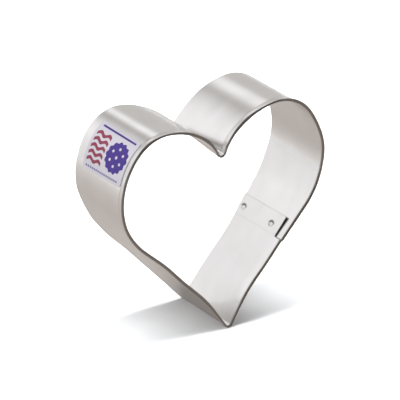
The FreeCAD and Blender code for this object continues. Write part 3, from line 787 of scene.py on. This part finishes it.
    def build(self) -> bpy.types.Object:
        """Put the strip and its tongue into one closed mesh, with the layers that its finish reads.

        The tongue's first ring is the lower part of the strip's last ring.

        Returns:
            The band.
        """
        first, second, across = self.section()
        count = len(first)
        loop = np.concatenate([first, second[::-1]])
        rows = int(np.argmin(np.abs(self.rows() - self.path.sizes.tongue_top))) + 1
        ring = np.concatenate([np.arange(rows), np.arange(2 * count - rows, 2 * count)])
        stations, strip, heat_and_shade = self.strip(loop)
        run, tongue, tongue_heat_and_shade = self.tongue(loop[ring])

        grid = np.arange(heat_and_shade.size).reshape(heat_and_shade.shape)
        flap = grid.size + np.arange(tongue_heat_and_shade.size).reshape(tongue_heat_and_shade.shape)
        flap = np.concatenate([grid[-1:, ring], flap])
        back = np.arange(2 * count - 1, count - 1, -1)
        quads = np.concatenate([
            tube(grid), tube(flap),
            cap(grid[0, back], grid[0, :count]),
            cap(grid[-1, rows - 1:count], grid[-1, back[rows - 1:]]),
            cap(flap[-1, :rows], flap[-1, :rows - 1:-1]),
        ])
        around = np.concatenate([across, across[::-1] + self.skin_shift])
        uv = [flat_places(stations, around), flat_places(self.path.length + run, around[ring])]
        points = np.concatenate([strip.reshape(-1, 3), tongue.reshape(-1, 3)])
        piece = new_mesh("heart_band_skin", points, quads.tolist(), np.concatenate(uv))
        layers = {
            Layer.PAINTED_SHADE: self.painted_darkening(loop, len(stations), points),
            Layer.HEAT_AND_SHADE: np.concatenate([heat_and_shade.ravel(), tongue_heat_and_shade.ravel()]),
        }
        for name, values in layers.items():
            layer = piece.data.attributes.new(name.value, "FLOAT", "POINT")
            layer.data.foreach_set("value", values.astype(np.float32))
        return piece


@dataclass
class SpotWeld:
    """One weld nugget through the lapped ends, with a dished face on each side."""

    path: HeartPath
    node: str
    setback: float
    height: float
    face: Span = (0.06, 0.52)
    rings: int = 10
    steps: int = 40
    proud: float = 0.008 * MM

    def build(self) -> bpy.types.Object:
        """Turn the nugget's profile about its axis.

        At radius r the faces lie a hair proud of the electrode marks, on the tongue and on the outer end.
        The ring at angle a is r cos a along the strip and r sin a, stretched as the electrode is, upwards.

        Returns:
            The nugget.
        """
        z = self.path.sizes
        radius = np.linspace(*self.face, self.rings) * z.weld_radius
        dent = z.mark.dent(radius)
        inner = dent - z.edge_mark - self.proud
        outer = z.sheet - dent + self.proud
        reach = np.concatenate([radius, radius[::-1]])
        depth = np.concatenate([inner, outer[::-1]])
        tongue = self.path.length + z.butt_gap
        layer = np.concatenate([np.full(radius.size, tongue), np.zeros(radius.size)])
        turn = np.linspace(0, 2 * np.pi, self.steps, endpoint=False)
        side = reach[:, None] * np.cos(turn)
        rise = z.weld_stretch * reach[:, None] * np.sin(turn)
        points = self.path.place(layer[:, None] + self.setback + side, depth[:, None], self.height + rise)
        grid = np.arange(reach.size * self.steps).reshape(reach.size, self.steps)
        faces = tube(grid).tolist() + [grid[0, ::-1].tolist(), grid[-1].tolist()]
        return new_mesh(self.node + "_nugget", points, faces, np.stack([side, rise], -1) / MM)


@dataclass
class Label:
    """The small printed label on the outside of the left lobe."""

    path: HeartPath
    node: str = "label"
    seat: float = 0.02 * MM
    thickness: float = 0.1 * MM
    columns: int = 49
    rows: int = 61

    def build(self) -> bpy.types.Object:
        """Bend a thin sheet with rounded corners round the lobe.

        A place is (x across the strip, y up the lobe); each row of constant x is shortened near the two
        ends by the corner's quarter circle. Front and back are that grid carried outwards from the path.

        Returns:
            The label.
        """
        z = self.path.sizes
        half_x, half_y = z.label_width / 2, z.label_height / 2
        x = half_x * np.sin(np.linspace(-np.pi / 2, np.pi / 2, self.columns))
        over = np.clip(np.abs(x) - (half_x - z.label_corner), 0, z.label_corner)
        reach = half_y - z.label_corner + np.sqrt(z.label_corner ** 2 - over ** 2)
        y = np.linspace(-1, 1, self.rows)[None, :] * reach[:, None]
        back = z.sheet + self.seat
        run = z.label_shift - y
        bend = np.where(run < 0, 1 / z.shoulder, 1 / z.side)
        distance = self.path.marks[Run.LEFT_SIDE] + run / (1 + back * bend)
        height = z.depth - z.label_margin - half_x + x[:, None]
        skins = [self.path.place(distance, lift, height) for lift in (back + self.thickness, back)]
        front = np.arange(y.size).reshape(y.shape)
        rear = front + y.size
        near, far = margin(front), margin(rear)
        rim = np.stack([near, np.roll(near, -1), np.roll(far, -1), far], -1)
        faces = np.concatenate([patch(front), patch(rear)[:, [0, 3, 2, 1]], rim])
        flat = np.stack([np.broadcast_to(x[:, None], y.shape), y], -1) / MM
        return new_mesh("label_sheet", np.stack(skins), faces.tolist(), np.stack([flat, flat]))


class NodeSheet:
    """A node tree that is filled in node by node."""

    def __init__(self, tree: bpy.types.NodeTree) -> None:
        """Start with an empty tree."""
        self.tree = tree
        tree.nodes.clear()

    def add(self, kind: str, inputs: dict | None = None, **settings: object) -> bpy.types.Node:
        """Add a node.

        Args:
            kind: The node's type.
            inputs: Values or sockets for its inputs, by name or number.
            settings: The node's own options.

        Returns:
            The new node.
        """
        node = self.tree.nodes.new(kind)
        for name, value in settings.items():
            setattr(node, name, value)
        for key, value in (inputs or {}).items():
            if isinstance(value, bpy.types.NodeSocket):
                self.tree.links.new(value, node.inputs[key])
            else:
                node.inputs[key].default_value = value
        return node

    def flat_place(self) -> bpy.types.NodeSocket:
        """Read the piece's own flat places, in millimetres."""
        return self.add("ShaderNodeUVMap", uv_map=Layer.UV.value).outputs[0]

    def layer(self, layer: Layer) -> bpy.types.NodeSocket:
        """Read a layer of numbers on the piece."""
        return self.add("ShaderNodeAttribute", attribute_name=layer.value).outputs["Fac"]

    def math(self, operation: str, *values: object) -> bpy.types.NodeSocket:
        """Combine numbers or sockets."""
        return self.add("ShaderNodeMath", dict(enumerate(values)), operation=operation).outputs[0]

    def radius(self, x: object, y: object) -> bpy.types.NodeSocket:
        """Find the distance of a flat place from zero."""
        squares = self.math("ADD", self.math("MULTIPLY", x, x), self.math("MULTIPLY", y, y))
        return self.math("SQRT", squares)

    def vector(self, operation: str, *values: object) -> bpy.types.Node:
        """Combine vectors or sockets."""
        return self.add("ShaderNodeVectorMath", dict(enumerate(values)), operation=operation)

    def scale(self, vector: object, factor: object) -> bpy.types.NodeSocket:
        """Multiply a vector or colour by a number."""
        return self.add("ShaderNodeVectorMath", {0: vector, "Scale": factor}, operation="SCALE").outputs[0]

    def mix(self, factor: object, first: object, second: object) -> bpy.types.NodeSocket:
        """Mix two colours by a factor."""
        return self.add("ShaderNodeMix", {0: factor, 6: first, 7: second}, data_type="RGBA").outputs[2]

    def spread(self, value: object, low: float, high: float) -> bpy.types.NodeSocket:
        """Map 0 to 1 onto low to high."""
        return self.math("MULTIPLY_ADD", value, high - low, low)

    def between(self, value: object, span: Span, **settings: object) -> bpy.types.NodeSocket:
        """Map a span onto 0 to 1 and hold the ends."""
        return self.add("ShaderNodeMapRange", {0: value, 1: span[0], 2: span[1]}, **settings).outputs[0]

    def noise(self, place: object, scale: Triple, detail: float = 3.0) -> bpy.types.NodeSocket:
        """Read a noise with its own scale along each direction.

        Args:
            place: Where to read it.
            scale: Its scale along each direction.
            detail: How many finer layers it has.

        Returns:
            The noise, from 0 to 1.
        """
        stretched = self.vector("MULTIPLY", place, scale).outputs[0]
        inputs = {"Vector": stretched, "Scale": 1.0, "Detail": detail}
        return self.add("ShaderNodeTexNoise", inputs).outputs[0]

    def bump(self, height: object, distance: float) -> bpy.types.NodeSocket:
        """Turn a height of so many metres into a bumpy normal."""
        inputs = {"Strength": 1.0, "Distance": distance, "Height": height}
        return self.add("ShaderNodeBump", inputs).outputs[0]

    def cover(self, inputs: dict) -> None:
        """Cover the surface with one principled shader."""
        shader = self.add("ShaderNodeBsdfPrincipled", inputs)
        self.add("ShaderNodeOutputMaterial", {"Surface": shader.outputs[0]})


def rgba(colour: Colour, level: float = 1.0) -> tuple[float, float, float, float]:
    """Return a colour as a socket takes it."""
    return (colour[0] * level, colour[1] * level, colour[2] * level, 1.0)


def srgb(*screen: int) -> Colour:
    """Turn a screen colour into the linear colour that shows as it.

    Args:
        screen: Red, green and blue, from 0 to 255.

    Returns:
        The linear colour.
    """
    share = np.array(screen) / 255
    linear = np.where(share <= 0.04045, share / 12.92, ((share + 0.055) / 1.055) ** 2.4)
    return tuple(float(v) for v in linear)


def new_material(name: str) -> tuple[bpy.types.Material, NodeSheet]:
    """Make a material with an empty node tree.

    Args:
        name: Its name.

    Returns:
        The material and its nodes.
    """
    material = bpy.data.materials.new(name)
    material.use_nodes = True
    return material, NodeSheet(material.node_tree)


@dataclass(frozen=True)
class Tinplate:
    """Bright rolled tinplate: satin, with fine lines along the strip and faint smudges; painted shade
    darkens the fold's crest, the hem's tip and a line below it, and the welds' rings from heating are
    darkened further on one side as painted shade.
    """

    colour: Colour = (0.80, 0.79, 0.78)
    smudged: Colour = (0.73, 0.715, 0.70)
    # Colour of the painted shade on the fold's crest, the hem's tip and the line below the hem.
    shade_colour: Colour = (0.52, 0.475, 0.445)
    # Colour of the welds' rings from heating, and of the painted shade that darkens one side of them.
    heat_and_shade_colour: Colour = (0.09, 0.08, 0.075)
    heat_and_shade_spread: Span = (0.7, 1.2)
    roughness: Span = (0.16, 0.27)
    anisotropy: float = 0.45
    line_turn: float = 0.25
    line_scale: Triple = (0.035, 7.0, 1.0)
    line_height: float = 0.00025 * MM
    cloud_scale: Triple = (0.11, 0.16, 1.0)
    wave_scale: Triple = (0.045, 0.03, 1.0)
    wave_height: float = 0.012 * MM

    def material(self) -> bpy.types.Material:
        """Build the look on the strip's own flat places.

        Returns:
            The material.
        """
        material, n = new_material("tinplate")
        place = n.flat_place()
        lines = n.noise(place, self.line_scale, detail=4.0)
        clouds = n.noise(place, self.cloud_scale, detail=4.0)
        waves = n.noise(place, self.wave_scale, detail=1.0)
        smudge = n.math("SMOOTH_MIN", n.math("MULTIPLY", clouds, clouds), 1.0, 0.1)
        tin = n.mix(smudge, rgba(self.colour), rgba(self.smudged))
        # The welds' rings from heating, darkened on one side as painted shade.
        heat_and_shade = n.math("MULTIPLY", n.layer(Layer.HEAT_AND_SHADE), n.spread(clouds, *self.heat_and_shade_spread))
        tinted = n.mix(heat_and_shade, tin, rgba(self.heat_and_shade_colour))
        fine = n.math("MULTIPLY", lines, self.line_height)
        height = n.math("ADD", n.math("MULTIPLY", waves, self.wave_height), fine)
        blend = n.math("ADD", n.math("MULTIPLY", lines, 0.5), n.math("MULTIPLY", clouds, 0.5))
        tangent = n.add("ShaderNodeTangent", direction_type="UV_MAP", uv_map=Layer.UV.value)
        n.cover({
            # Painted shade on the fold's crest, the hem's tip and the line below the hem.
            "Base Color": n.mix(n.layer(Layer.PAINTED_SHADE), tinted, rgba(self.shade_colour)),
            "Metallic": 1.0,
            "Roughness": n.spread(blend, *self.roughness),
            "Anisotropic": self.anisotropy,
            "Anisotropic Rotation": self.line_turn,
            "Normal": n.bump(height, 1.0),
            "Tangent": tangent.outputs[0],
        })
        return material


@dataclass(frozen=True)
class WeldMetal:
    """Tin and steel melted together: grey, a little grainy."""

    colour: Colour = (0.80, 0.785, 0.77)
    grain_colour: Colour = (0.66, 0.645, 0.63)
    grain_scale: Triple = (3.0, 3.0, 1.0)
    grain_height: float = 0.01 * MM
    roughness: Span = (0.24, 0.4)

    def material(self) -> bpy.types.Material:
        """Build the look on the nugget's own flat places.

        Returns:
            The material.
        """
        material, n = new_material("weld_metal")
        grain = n.noise(n.flat_place(), self.grain_scale)
        n.cover({
            "Base Color": n.mix(grain, rgba(self.colour), rgba(self.grain_colour)),
            "Metallic": 1.0,
            "Roughness": n.spread(grain, *self.roughness),
            "Normal": n.bump(grain, self.grain_height),
        })
        return material


@dataclass(frozen=True)
class LabelPrint:
    """A pale label with a plain printed pattern: a scalloped biscuit, waves and rules, in millimetres."""

    ground: Colour = srgb(207, 204, 212)
    indigo: Colour = srgb(76, 57, 137)
    crimson: Colour = srgb(142, 66, 86)
    roughness: Span = (0.29, 0.39)
    foil: float = 0.65
    fibre_scale: Triple = (1.4, 1.4, 1.0)
    fibre_height: float = 0.004 * MM
    fibre_tone: Span = (0.95, 1.03)
    biscuit_at: Span = (3.9, -0.2)
    biscuit_radius: float = 4.7
    scallops: float = 14.0
    scallop_height: float = 0.24
    hole: float = 0.45
    hole_ring: float = 2.7
    middle_hole: float = 0.5
    wave_number: float = 1.6
    wave_swing: float = 0.4
    wave_width: float = 0.55
    waves_at: Span = (-5.0, -0.2)
    waves_reach: Span = (3.4, 4.6)
    rule_reach: float = 8.0
    rule_width: float = 0.3
    rule_heights: Span = (6.2, -6.4)
    dash: float = 0.55

    def biscuit(self, n: NodeSheet, x: object, y: object) -> bpy.types.NodeSocket:
        """Draw a round biscuit with a scalloped edge and a ring of six holes round a middle one.

        Args:
            n: The material's nodes.
            x: The place across the strip.
            y: The place up the lobe.

        Returns:
            1 on the biscuit, and 0 elsewhere.
        """
        dx, dy = (n.math("SUBTRACT", v, at) for v, at in zip((x, y), self.biscuit_at))
        far, turn = n.radius(dx, dy), n.math("ARCTAN2", dy, dx)
        swing = n.math("COSINE", n.math("MULTIPLY", turn, self.scallops))
        edge = n.math("MULTIPLY_ADD", swing, self.scallop_height, self.biscuit_radius)
        sixth = math.pi / 3
        folded = n.math("SUBTRACT", n.math("FLOORED_MODULO", turn, sixth), sixth / 2)
        hole_x = n.math("SUBTRACT", n.math("MULTIPLY", far, n.math("COSINE", folded)), self.hole_ring)
        hole_y = n.math("MULTIPLY", far, n.math("SINE", folded))
        ring = n.math("GREATER_THAN", n.radius(hole_x, hole_y), self.hole)
        solid = n.math("MULTIPLY", ring, n.math("GREATER_THAN", far, self.middle_hole))
        return n.math("MULTIPLY", n.math("LESS_THAN", far, edge), solid)

    def waves(self, n: NodeSheet, x: object, y: object) -> bpy.types.NodeSocket:
        """Draw five waves beside the biscuit.

        Args:
            n: The material's nodes.
            x: The place across the strip.
            y: The place up the lobe.

        Returns:
            1 on the waves, and 0 elsewhere.
        """
        phase = n.math("MULTIPLY", x, self.wave_number)
        swing = n.math("MULTIPLY", n.math("SINE", phase), self.wave_swing)
        level = n.math("SUBTRACT", n.math("SUBTRACT", y, swing), self.waves_at[1])
        band = n.math("COMPARE", n.math("PINGPONG", level, 1.0), 0.0, self.wave_width)
        width = n.math("COMPARE", x, self.waves_at[0], self.waves_reach[0])
        return n.math("MULTIPLY", n.math("MULTIPLY", band, width),
                      n.math("COMPARE", level, 0.0, self.waves_reach[1]))

    def rules(self, n: NodeSheet, x: object, y: object) -> bpy.types.NodeSocket:
        """Draw a thin rule above and a dotted rule below.

        Args:
            n: The material's nodes.
            x: The place across the strip.
            y: The place up the lobe.

        Returns:
            1 on the rules, and 0 elsewhere.
        """
        upper, lower = (n.math("COMPARE", y, height, self.rule_width) for height in self.rule_heights)
        dots = n.math("LESS_THAN", n.math("FLOORED_MODULO", x, 1.0), self.dash)
        either = n.math("MAXIMUM", upper, n.math("MULTIPLY", lower, dots))
        return n.math("MULTIPLY", n.math("COMPARE", x, 0.0, self.rule_reach), either)

    def material(self) -> bpy.types.Material:
        """Build the print on the label's own flat places.

        Returns:
            The material.
        """
        material, n = new_material("label_print")
        place = n.flat_place()
        x, y, _ = n.add("ShaderNodeSeparateXYZ", {0: place}).outputs
        fibre = n.noise(place, self.fibre_scale, detail=4.0)
        paper = n.mix(fibre, *(rgba(self.ground, tone) for tone in self.fibre_tone))
        printed = n.mix(self.waves(n, x, y), paper, rgba(self.crimson))
        blue = n.math("MAXIMUM", self.biscuit(n, x, y), self.rules(n, x, y))
        n.cover({
            "Base Color": n.mix(blue, printed, rgba(self.indigo)),
            "Metallic": self.foil,
            "Roughness": n.spread(fibre, *self.roughness),
            "Normal": n.bump(fibre, self.fibre_height),
        })
        return material


@dataclass
class Studio:
    """Floor, light and camera, with the photo's upward direction in the cutter's own frame.

    The glow is the room's brightness behind the cutter, by the compass angle from +X towards +Y in
    degrees. Spans of the room are shares of a direction's length along one axis.
    """

    lean: float = math.radians(2.7)
    floor_reach: float = 3.0
    floor_gap: float = 0.02 * MM
    floor_colour: Colour = (0.88, 0.895, 0.91)
    floor_lift: float = 1.53
    floor_glow: Span = (0.0, 1.0)
    paper_fade: Span = (0.08, 1.0)
    card_gap: float = 0.05 * MM
    card_front: float = 27.0 * MM
    card_colour: Colour = (0.282, 0.261, 0.248)
    card_glow: Span = (0.68, 0.89)
    flag_reach: float = 0.5
    flag_front: float = 0.6
    flag_colour: Colour = (0.20, 0.185, 0.175)
    backdrop_colour: Colour = (0.97, 0.97, 0.97)
    room_colour: Colour = (0.78, 0.77, 0.76)
    room_back: Span = (-0.35, -0.12)
    front_colour: Colour = (0.15, 0.142, 0.137)
    room_front: Span = (0.08, 0.4)
    ceiling_colour: Colour = (0.16, 0.16, 0.16)
    room_top: Span = (0.68, 0.84)
    steep: Span = (-0.76, -0.86)
    steep_share: float = 0.86
    room_light: float = 0.05
    warm: Colour = (1.035, 1.0, 0.97)
    cool: Colour = (1.0, 0.99, 1.005)
    cooling: Span = (0.6, 1.0)
    glow: tuple[Span, ...] = (
        (0, 0.63), (20, 0.66), (44, 0.66), (54, 0.74), (61, 1.22), (72, 1.25), (78, 0.82), (82, 0.63),
        (88, 0.62), (94, 0.80), (104, 0.99), (122, 1.13), (140, 1.15), (155, 1.06), (175, 0.98),
        (190, 0.86), (205, 0.66), (215, 0.55), (330, 0.56), (345, 0.61), (360, 0.62),
    )
    lamp_size: Span = (0.58, 0.26)
    lamp_distance: float = 0.8
    lamp_front: float = 0.02
    lamp_energy: float = 5.6
    left_lamp: float = math.radians(180 - 57)
    right_lamp: float = math.radians(68)
    eye: Triple = (-0.8165, 0.68553, 1.33213)
    aim: Triple = (0.00128, 0.00153, 0.01029)
    lens: float = 540.0
    sensor: float = 36.0
    clip: Span = (0.05, 50.0)

    @property
    def up(self) -> np.ndarray:
        """The photo's upward direction."""
        return np.array([math.sin(self.lean), math.cos(self.lean), 0.0])

    @property
    def across(self) -> np.ndarray:
        """The level direction along the floor that is at right angles to the strip's depth."""
        return np.array([math.cos(self.lean), -math.sin(self.lean), 0.0])

    def sheet(self, name: str, level: float, right: Span, front: Span) -> bpy.types.Object:
        """Lay a rectangle parallel to the floor, facing up.

        Args:
            name: Its name.
            level: Its height along the photo's upward direction, from the frame's origin.
            right: Where it starts and ends along the level direction.
            front: Where it starts and ends along +Z.

        Returns:
            The rectangle, which is part of the stage.
        """
        corners = [(right[0], front[0]), (right[0], front[1]), (right[1], front[1]), (right[1], front[0])]
        points = [self.up * level + self.across * a + np.array([0, 0, b]) for a, b in corners]
        mesh = bpy.data.meshes.new(name)
        mesh.from_pydata([tuple(p) for p in points], [], [(0, 1, 2, 3)])
        rectangle = bpy.data.objects.new(name, mesh)
        bpy.context.scene.collection.objects.link(rectangle)
        return rectangle

    def paper(self, name: str, near: Colour, far: Colour, lift: float = 1.0,
              glow: Span = (0.0, 0.0)) -> bpy.types.Material:
        """Make a matt paper that is only there from its upper side.

        Args:
            name: Its name.
            near: Its colour under the cutter.
            far: Its colour at a metre.
            lift: How much paler the camera sees it than the cutter does.
            glow: How much of its colour it sheds by itself, under the cutter and at a metre. A lifted
                paper does so for the camera only.

        Returns:
            The paper.
        """
        material, n = new_material(name)
        away = n.vector("LENGTH", n.add("ShaderNodeTexCoord").outputs["Object"]).outputs["Value"]
        fade = n.between(away, self.paper_fade)
        colour = n.mix(fade, rgba(near), rgba(far))
        camera = n.add("ShaderNodeLightPath").outputs["Is Camera Ray"]
        seen = n.math("MULTIPLY_ADD", camera, lift - 1.0, 1.0)
        matt = n.add("ShaderNodeBsdfDiffuse", {"Color": n.scale(colour, seen)})
        strength = n.math("MULTIPLY", n.spread(fade, *glow), camera if lift > 1.0 else 1.0)
        shine = n.add("ShaderNodeEmission", {"Color": colour, "Strength": strength})
        lit = n.add("ShaderNodeAddShader", {0: matt.outputs[0], 1: shine.outputs[0]})
        clear = n.add("ShaderNodeBsdfTransparent")
        under = n.add("ShaderNodeNewGeometry").outputs["Backfacing"]
        shader = n.add("ShaderNodeMixShader", {0: under, 1: lit.outputs[0], 2: clear.outputs[0]})
        n.add("ShaderNodeOutputMaterial", {"Surface": shader.outputs[0]})
        return material

    def lay_floor(self, level: float) -> None:
        """Lay the floor, and above it the grey card and the dark flag that only reflections show.

        Args:
            level: The floor's height along the photo's upward direction.
        """
        reach = (-self.floor_reach, self.floor_reach)
        floor = self.sheet("floor", level, reach, reach)
        white = self.paper(
            "floor_paper", self.floor_colour, self.floor_colour, self.floor_lift, self.floor_glow
        )
        floor.data.materials.append(white)
        above = level + self.card_gap
        card = self.sheet("grey_card", above, reach, (-self.floor_reach, self.card_front))
        # The grey card is a painted reflection of the floor: painted shade makes it darker under the
        # cutter, paling to the floor's colour at a metre, and it glows by itself.
        grey = self.paper("grey_paper", self.card_colour, self.floor_colour, glow=self.card_glow)
        flag_span = (-self.flag_reach, self.flag_reach)
        flag = self.sheet("dark_flag", above, flag_span, (self.card_front, self.flag_front))
        dark = self.paper("dark_paper", self.flag_colour, self.flag_colour)
        for sheet, paper in ((card, grey), (flag, dark)):
            sheet.data.materials.append(paper)
            sheet.visible_camera = False
            sheet.visible_diffuse = False
            sheet.visible_transmission = False
            sheet.visible_shadow = False

    def hang_lamp(self, name: str, level: float, angle: float) -> None:
        """Hang a soft lamp high at one side, turned to the heart's point; the metal does not mirror it.

        Args:
            name: Its name.
            level: The floor's height along the photo's upward direction.
            angle: Its angle above the floor, from the right side over the top to the left side.
        """
        lamp = bpy.data.lights.new(name, "AREA")
        lamp.shape = "RECTANGLE"
        lamp.size, lamp.size_y = self.lamp_size
        lamp.energy = self.lamp_energy
        holder = bpy.data.objects.new(name, lamp)
        back = self.up * math.sin(angle) + self.across * math.cos(angle)
        right = np.cross((0.0, 0.0, 1.0), back)
        turn = Matrix((tuple(right), (0.0, 0.0, 1.0), tuple(back))).transposed().to_4x4()
        place = self.up * level + back * self.lamp_distance + np.array([0.0, 0.0, self.lamp_front])
        holder.matrix_world = Matrix.Translation(Vector(place)) @ turn
        holder.visible_camera = False
        holder.visible_glossy = False
        bpy.context.scene.collection.objects.link(holder)

    def set_glow(self, ramp: bpy.types.ColorRamp) -> None:
        """Put the glow's stops on a ramp from 0 to 360 degrees, the stronger the cooler.

        Args:
            ramp: A fresh ramp with its two stops.
        """
        low, high = self.cooling
        for place, (degrees, strength) in enumerate(self.glow):
            stop = ramp.elements[place] if place in (0, 1) else ramp.elements.new(degrees / 360)
            stop.position = degrees / 360
            share = min(max((strength - low) / (high - low), 0.0), 1.0)
            tint = tuple(w + (c - w) * share for w, c in zip(self.warm, self.cool))
            stop.color = rgba(tint, strength)

    def light_room(self) -> None:
        """Light the room: pale at the sides, dark in front, a glow behind that turns with the compass, and
        a dim ceiling.

        The camera and the metal see the room at full strength, and it lights matt things only faintly. The
        camera itself sees a plain pale backdrop.
        """
        world = bpy.data.worlds.new("room")
        bpy.context.scene.world = world
        world.use_nodes = True
        n = NodeSheet(world.node_tree)
        direction = n.add("ShaderNodeTexCoord").outputs["Generated"]
        x, y, z = n.add("ShaderNodeSeparateXYZ", {0: direction}).outputs
        turn = n.math("FRACT", n.math("DIVIDE", n.math("ARCTAN2", y, x), 2 * math.pi))
        ramp = n.add("ShaderNodeValToRGB", {0: turn})
        self.set_glow(ramp.color_ramp)
        dimming = n.spread(n.between(z, self.steep), 1.0, self.steep_share)
        glow = n.scale(ramp.outputs[0], dimming)
        before = n.between(z, self.room_front, interpolation_type="SMOOTHSTEP")
        room = n.mix(before, rgba(self.room_colour), rgba(self.front_colour))
        walls = n.mix(n.between(z, self.room_back), glow, room)
        above = n.between(y, self.room_top, interpolation_type="SMOOTHSTEP")
        total = n.mix(above, walls, rgba(self.ceiling_colour))
        ray = n.add("ShaderNodeLightPath").outputs
        mirrored = n.math("MULTIPLY", ray["Is Glossy Ray"], n.math("LESS_THAN", ray["Diffuse Depth"], 0.5))
        shown = n.math("MAXIMUM", ray["Is Camera Ray"], mirrored)
        backdrop = n.mix(ray["Is Camera Ray"], total, rgba(self.backdrop_colour))
        strength = n.spread(shown, self.room_light, 1.0)
        background = n.add("ShaderNodeBackground", {"Color": backdrop, "Strength": strength})
        n.add("ShaderNodeOutputWorld", {"Surface": background.outputs[0]})

    def place_camera(self) -> None:
        """Point the long lens at the cutter with the photo's upward direction up."""
        data = bpy.data.cameras.new("camera")
        data.lens = self.lens
        data.sensor_width = self.sensor
        data.clip_start, data.clip_end = self.clip
        camera = bpy.data.objects.new("camera", data)
        back = (Vector(self.eye) - Vector(self.aim)).normalized()
        right = Vector(self.up).cross(back).normalized()
        turn = Matrix((right, back.cross(right), back)).transposed().to_4x4()
        camera.matrix_world = Matrix.Translation(Vector(self.eye)) @ turn
        bpy.context.scene.collection.objects.link(camera)
        bpy.context.scene.camera = camera

    def build(self, band: bpy.types.Object) -> None:
        """Set the stage under the band's lowest place in the photo.

        Args:
            band: The finished band.
        """
        points = np.empty(3 * len(band.data.vertices), dtype=np.float32)
        band.data.vertices.foreach_get("co", points)
        level = float((points.reshape(-1, 3) @ self.up).min())
        self.lay_floor(level - self.floor_gap)
        self.light_room()
        self.hang_lamp("left_lamp", level, self.left_lamp)
        self.hang_lamp("right_lamp", level, self.right_lamp)
        self.place_camera()
        bpy.context.scene.view_settings.view_transform = "Standard"
        LOG.info("floor at %.2f mm", level / MM)


def main() -> None:
    """Build every piece, then the stage."""
    logging.basicConfig(level=logging.INFO, format="%(name)s: %(message)s")
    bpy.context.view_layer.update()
    sizes = StripSizes()
    path = HeartPath(sizes, top=float(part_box("heart_band")[1][1]))

    band = Band(path)
    band_piece = band.build()
    dress(band_piece, Tinplate().material(), Slot.TINPLATE, band.node)
    weld_metal = WeldMetal().material()
    for node, (setback, height) in zip(("edge_side_weld", "hem_side_weld"), sizes.weld_places):
        weld = SpotWeld(path, node, setback, height)
        dress(weld.build(), weld_metal, Slot.WELD, weld.node)
    label = Label(path)
    dress(label.build(), LabelPrint().material(), Slot.LABEL, label.node)
    Studio().build(band_piece)


if __name__ == "__main__":
    main()
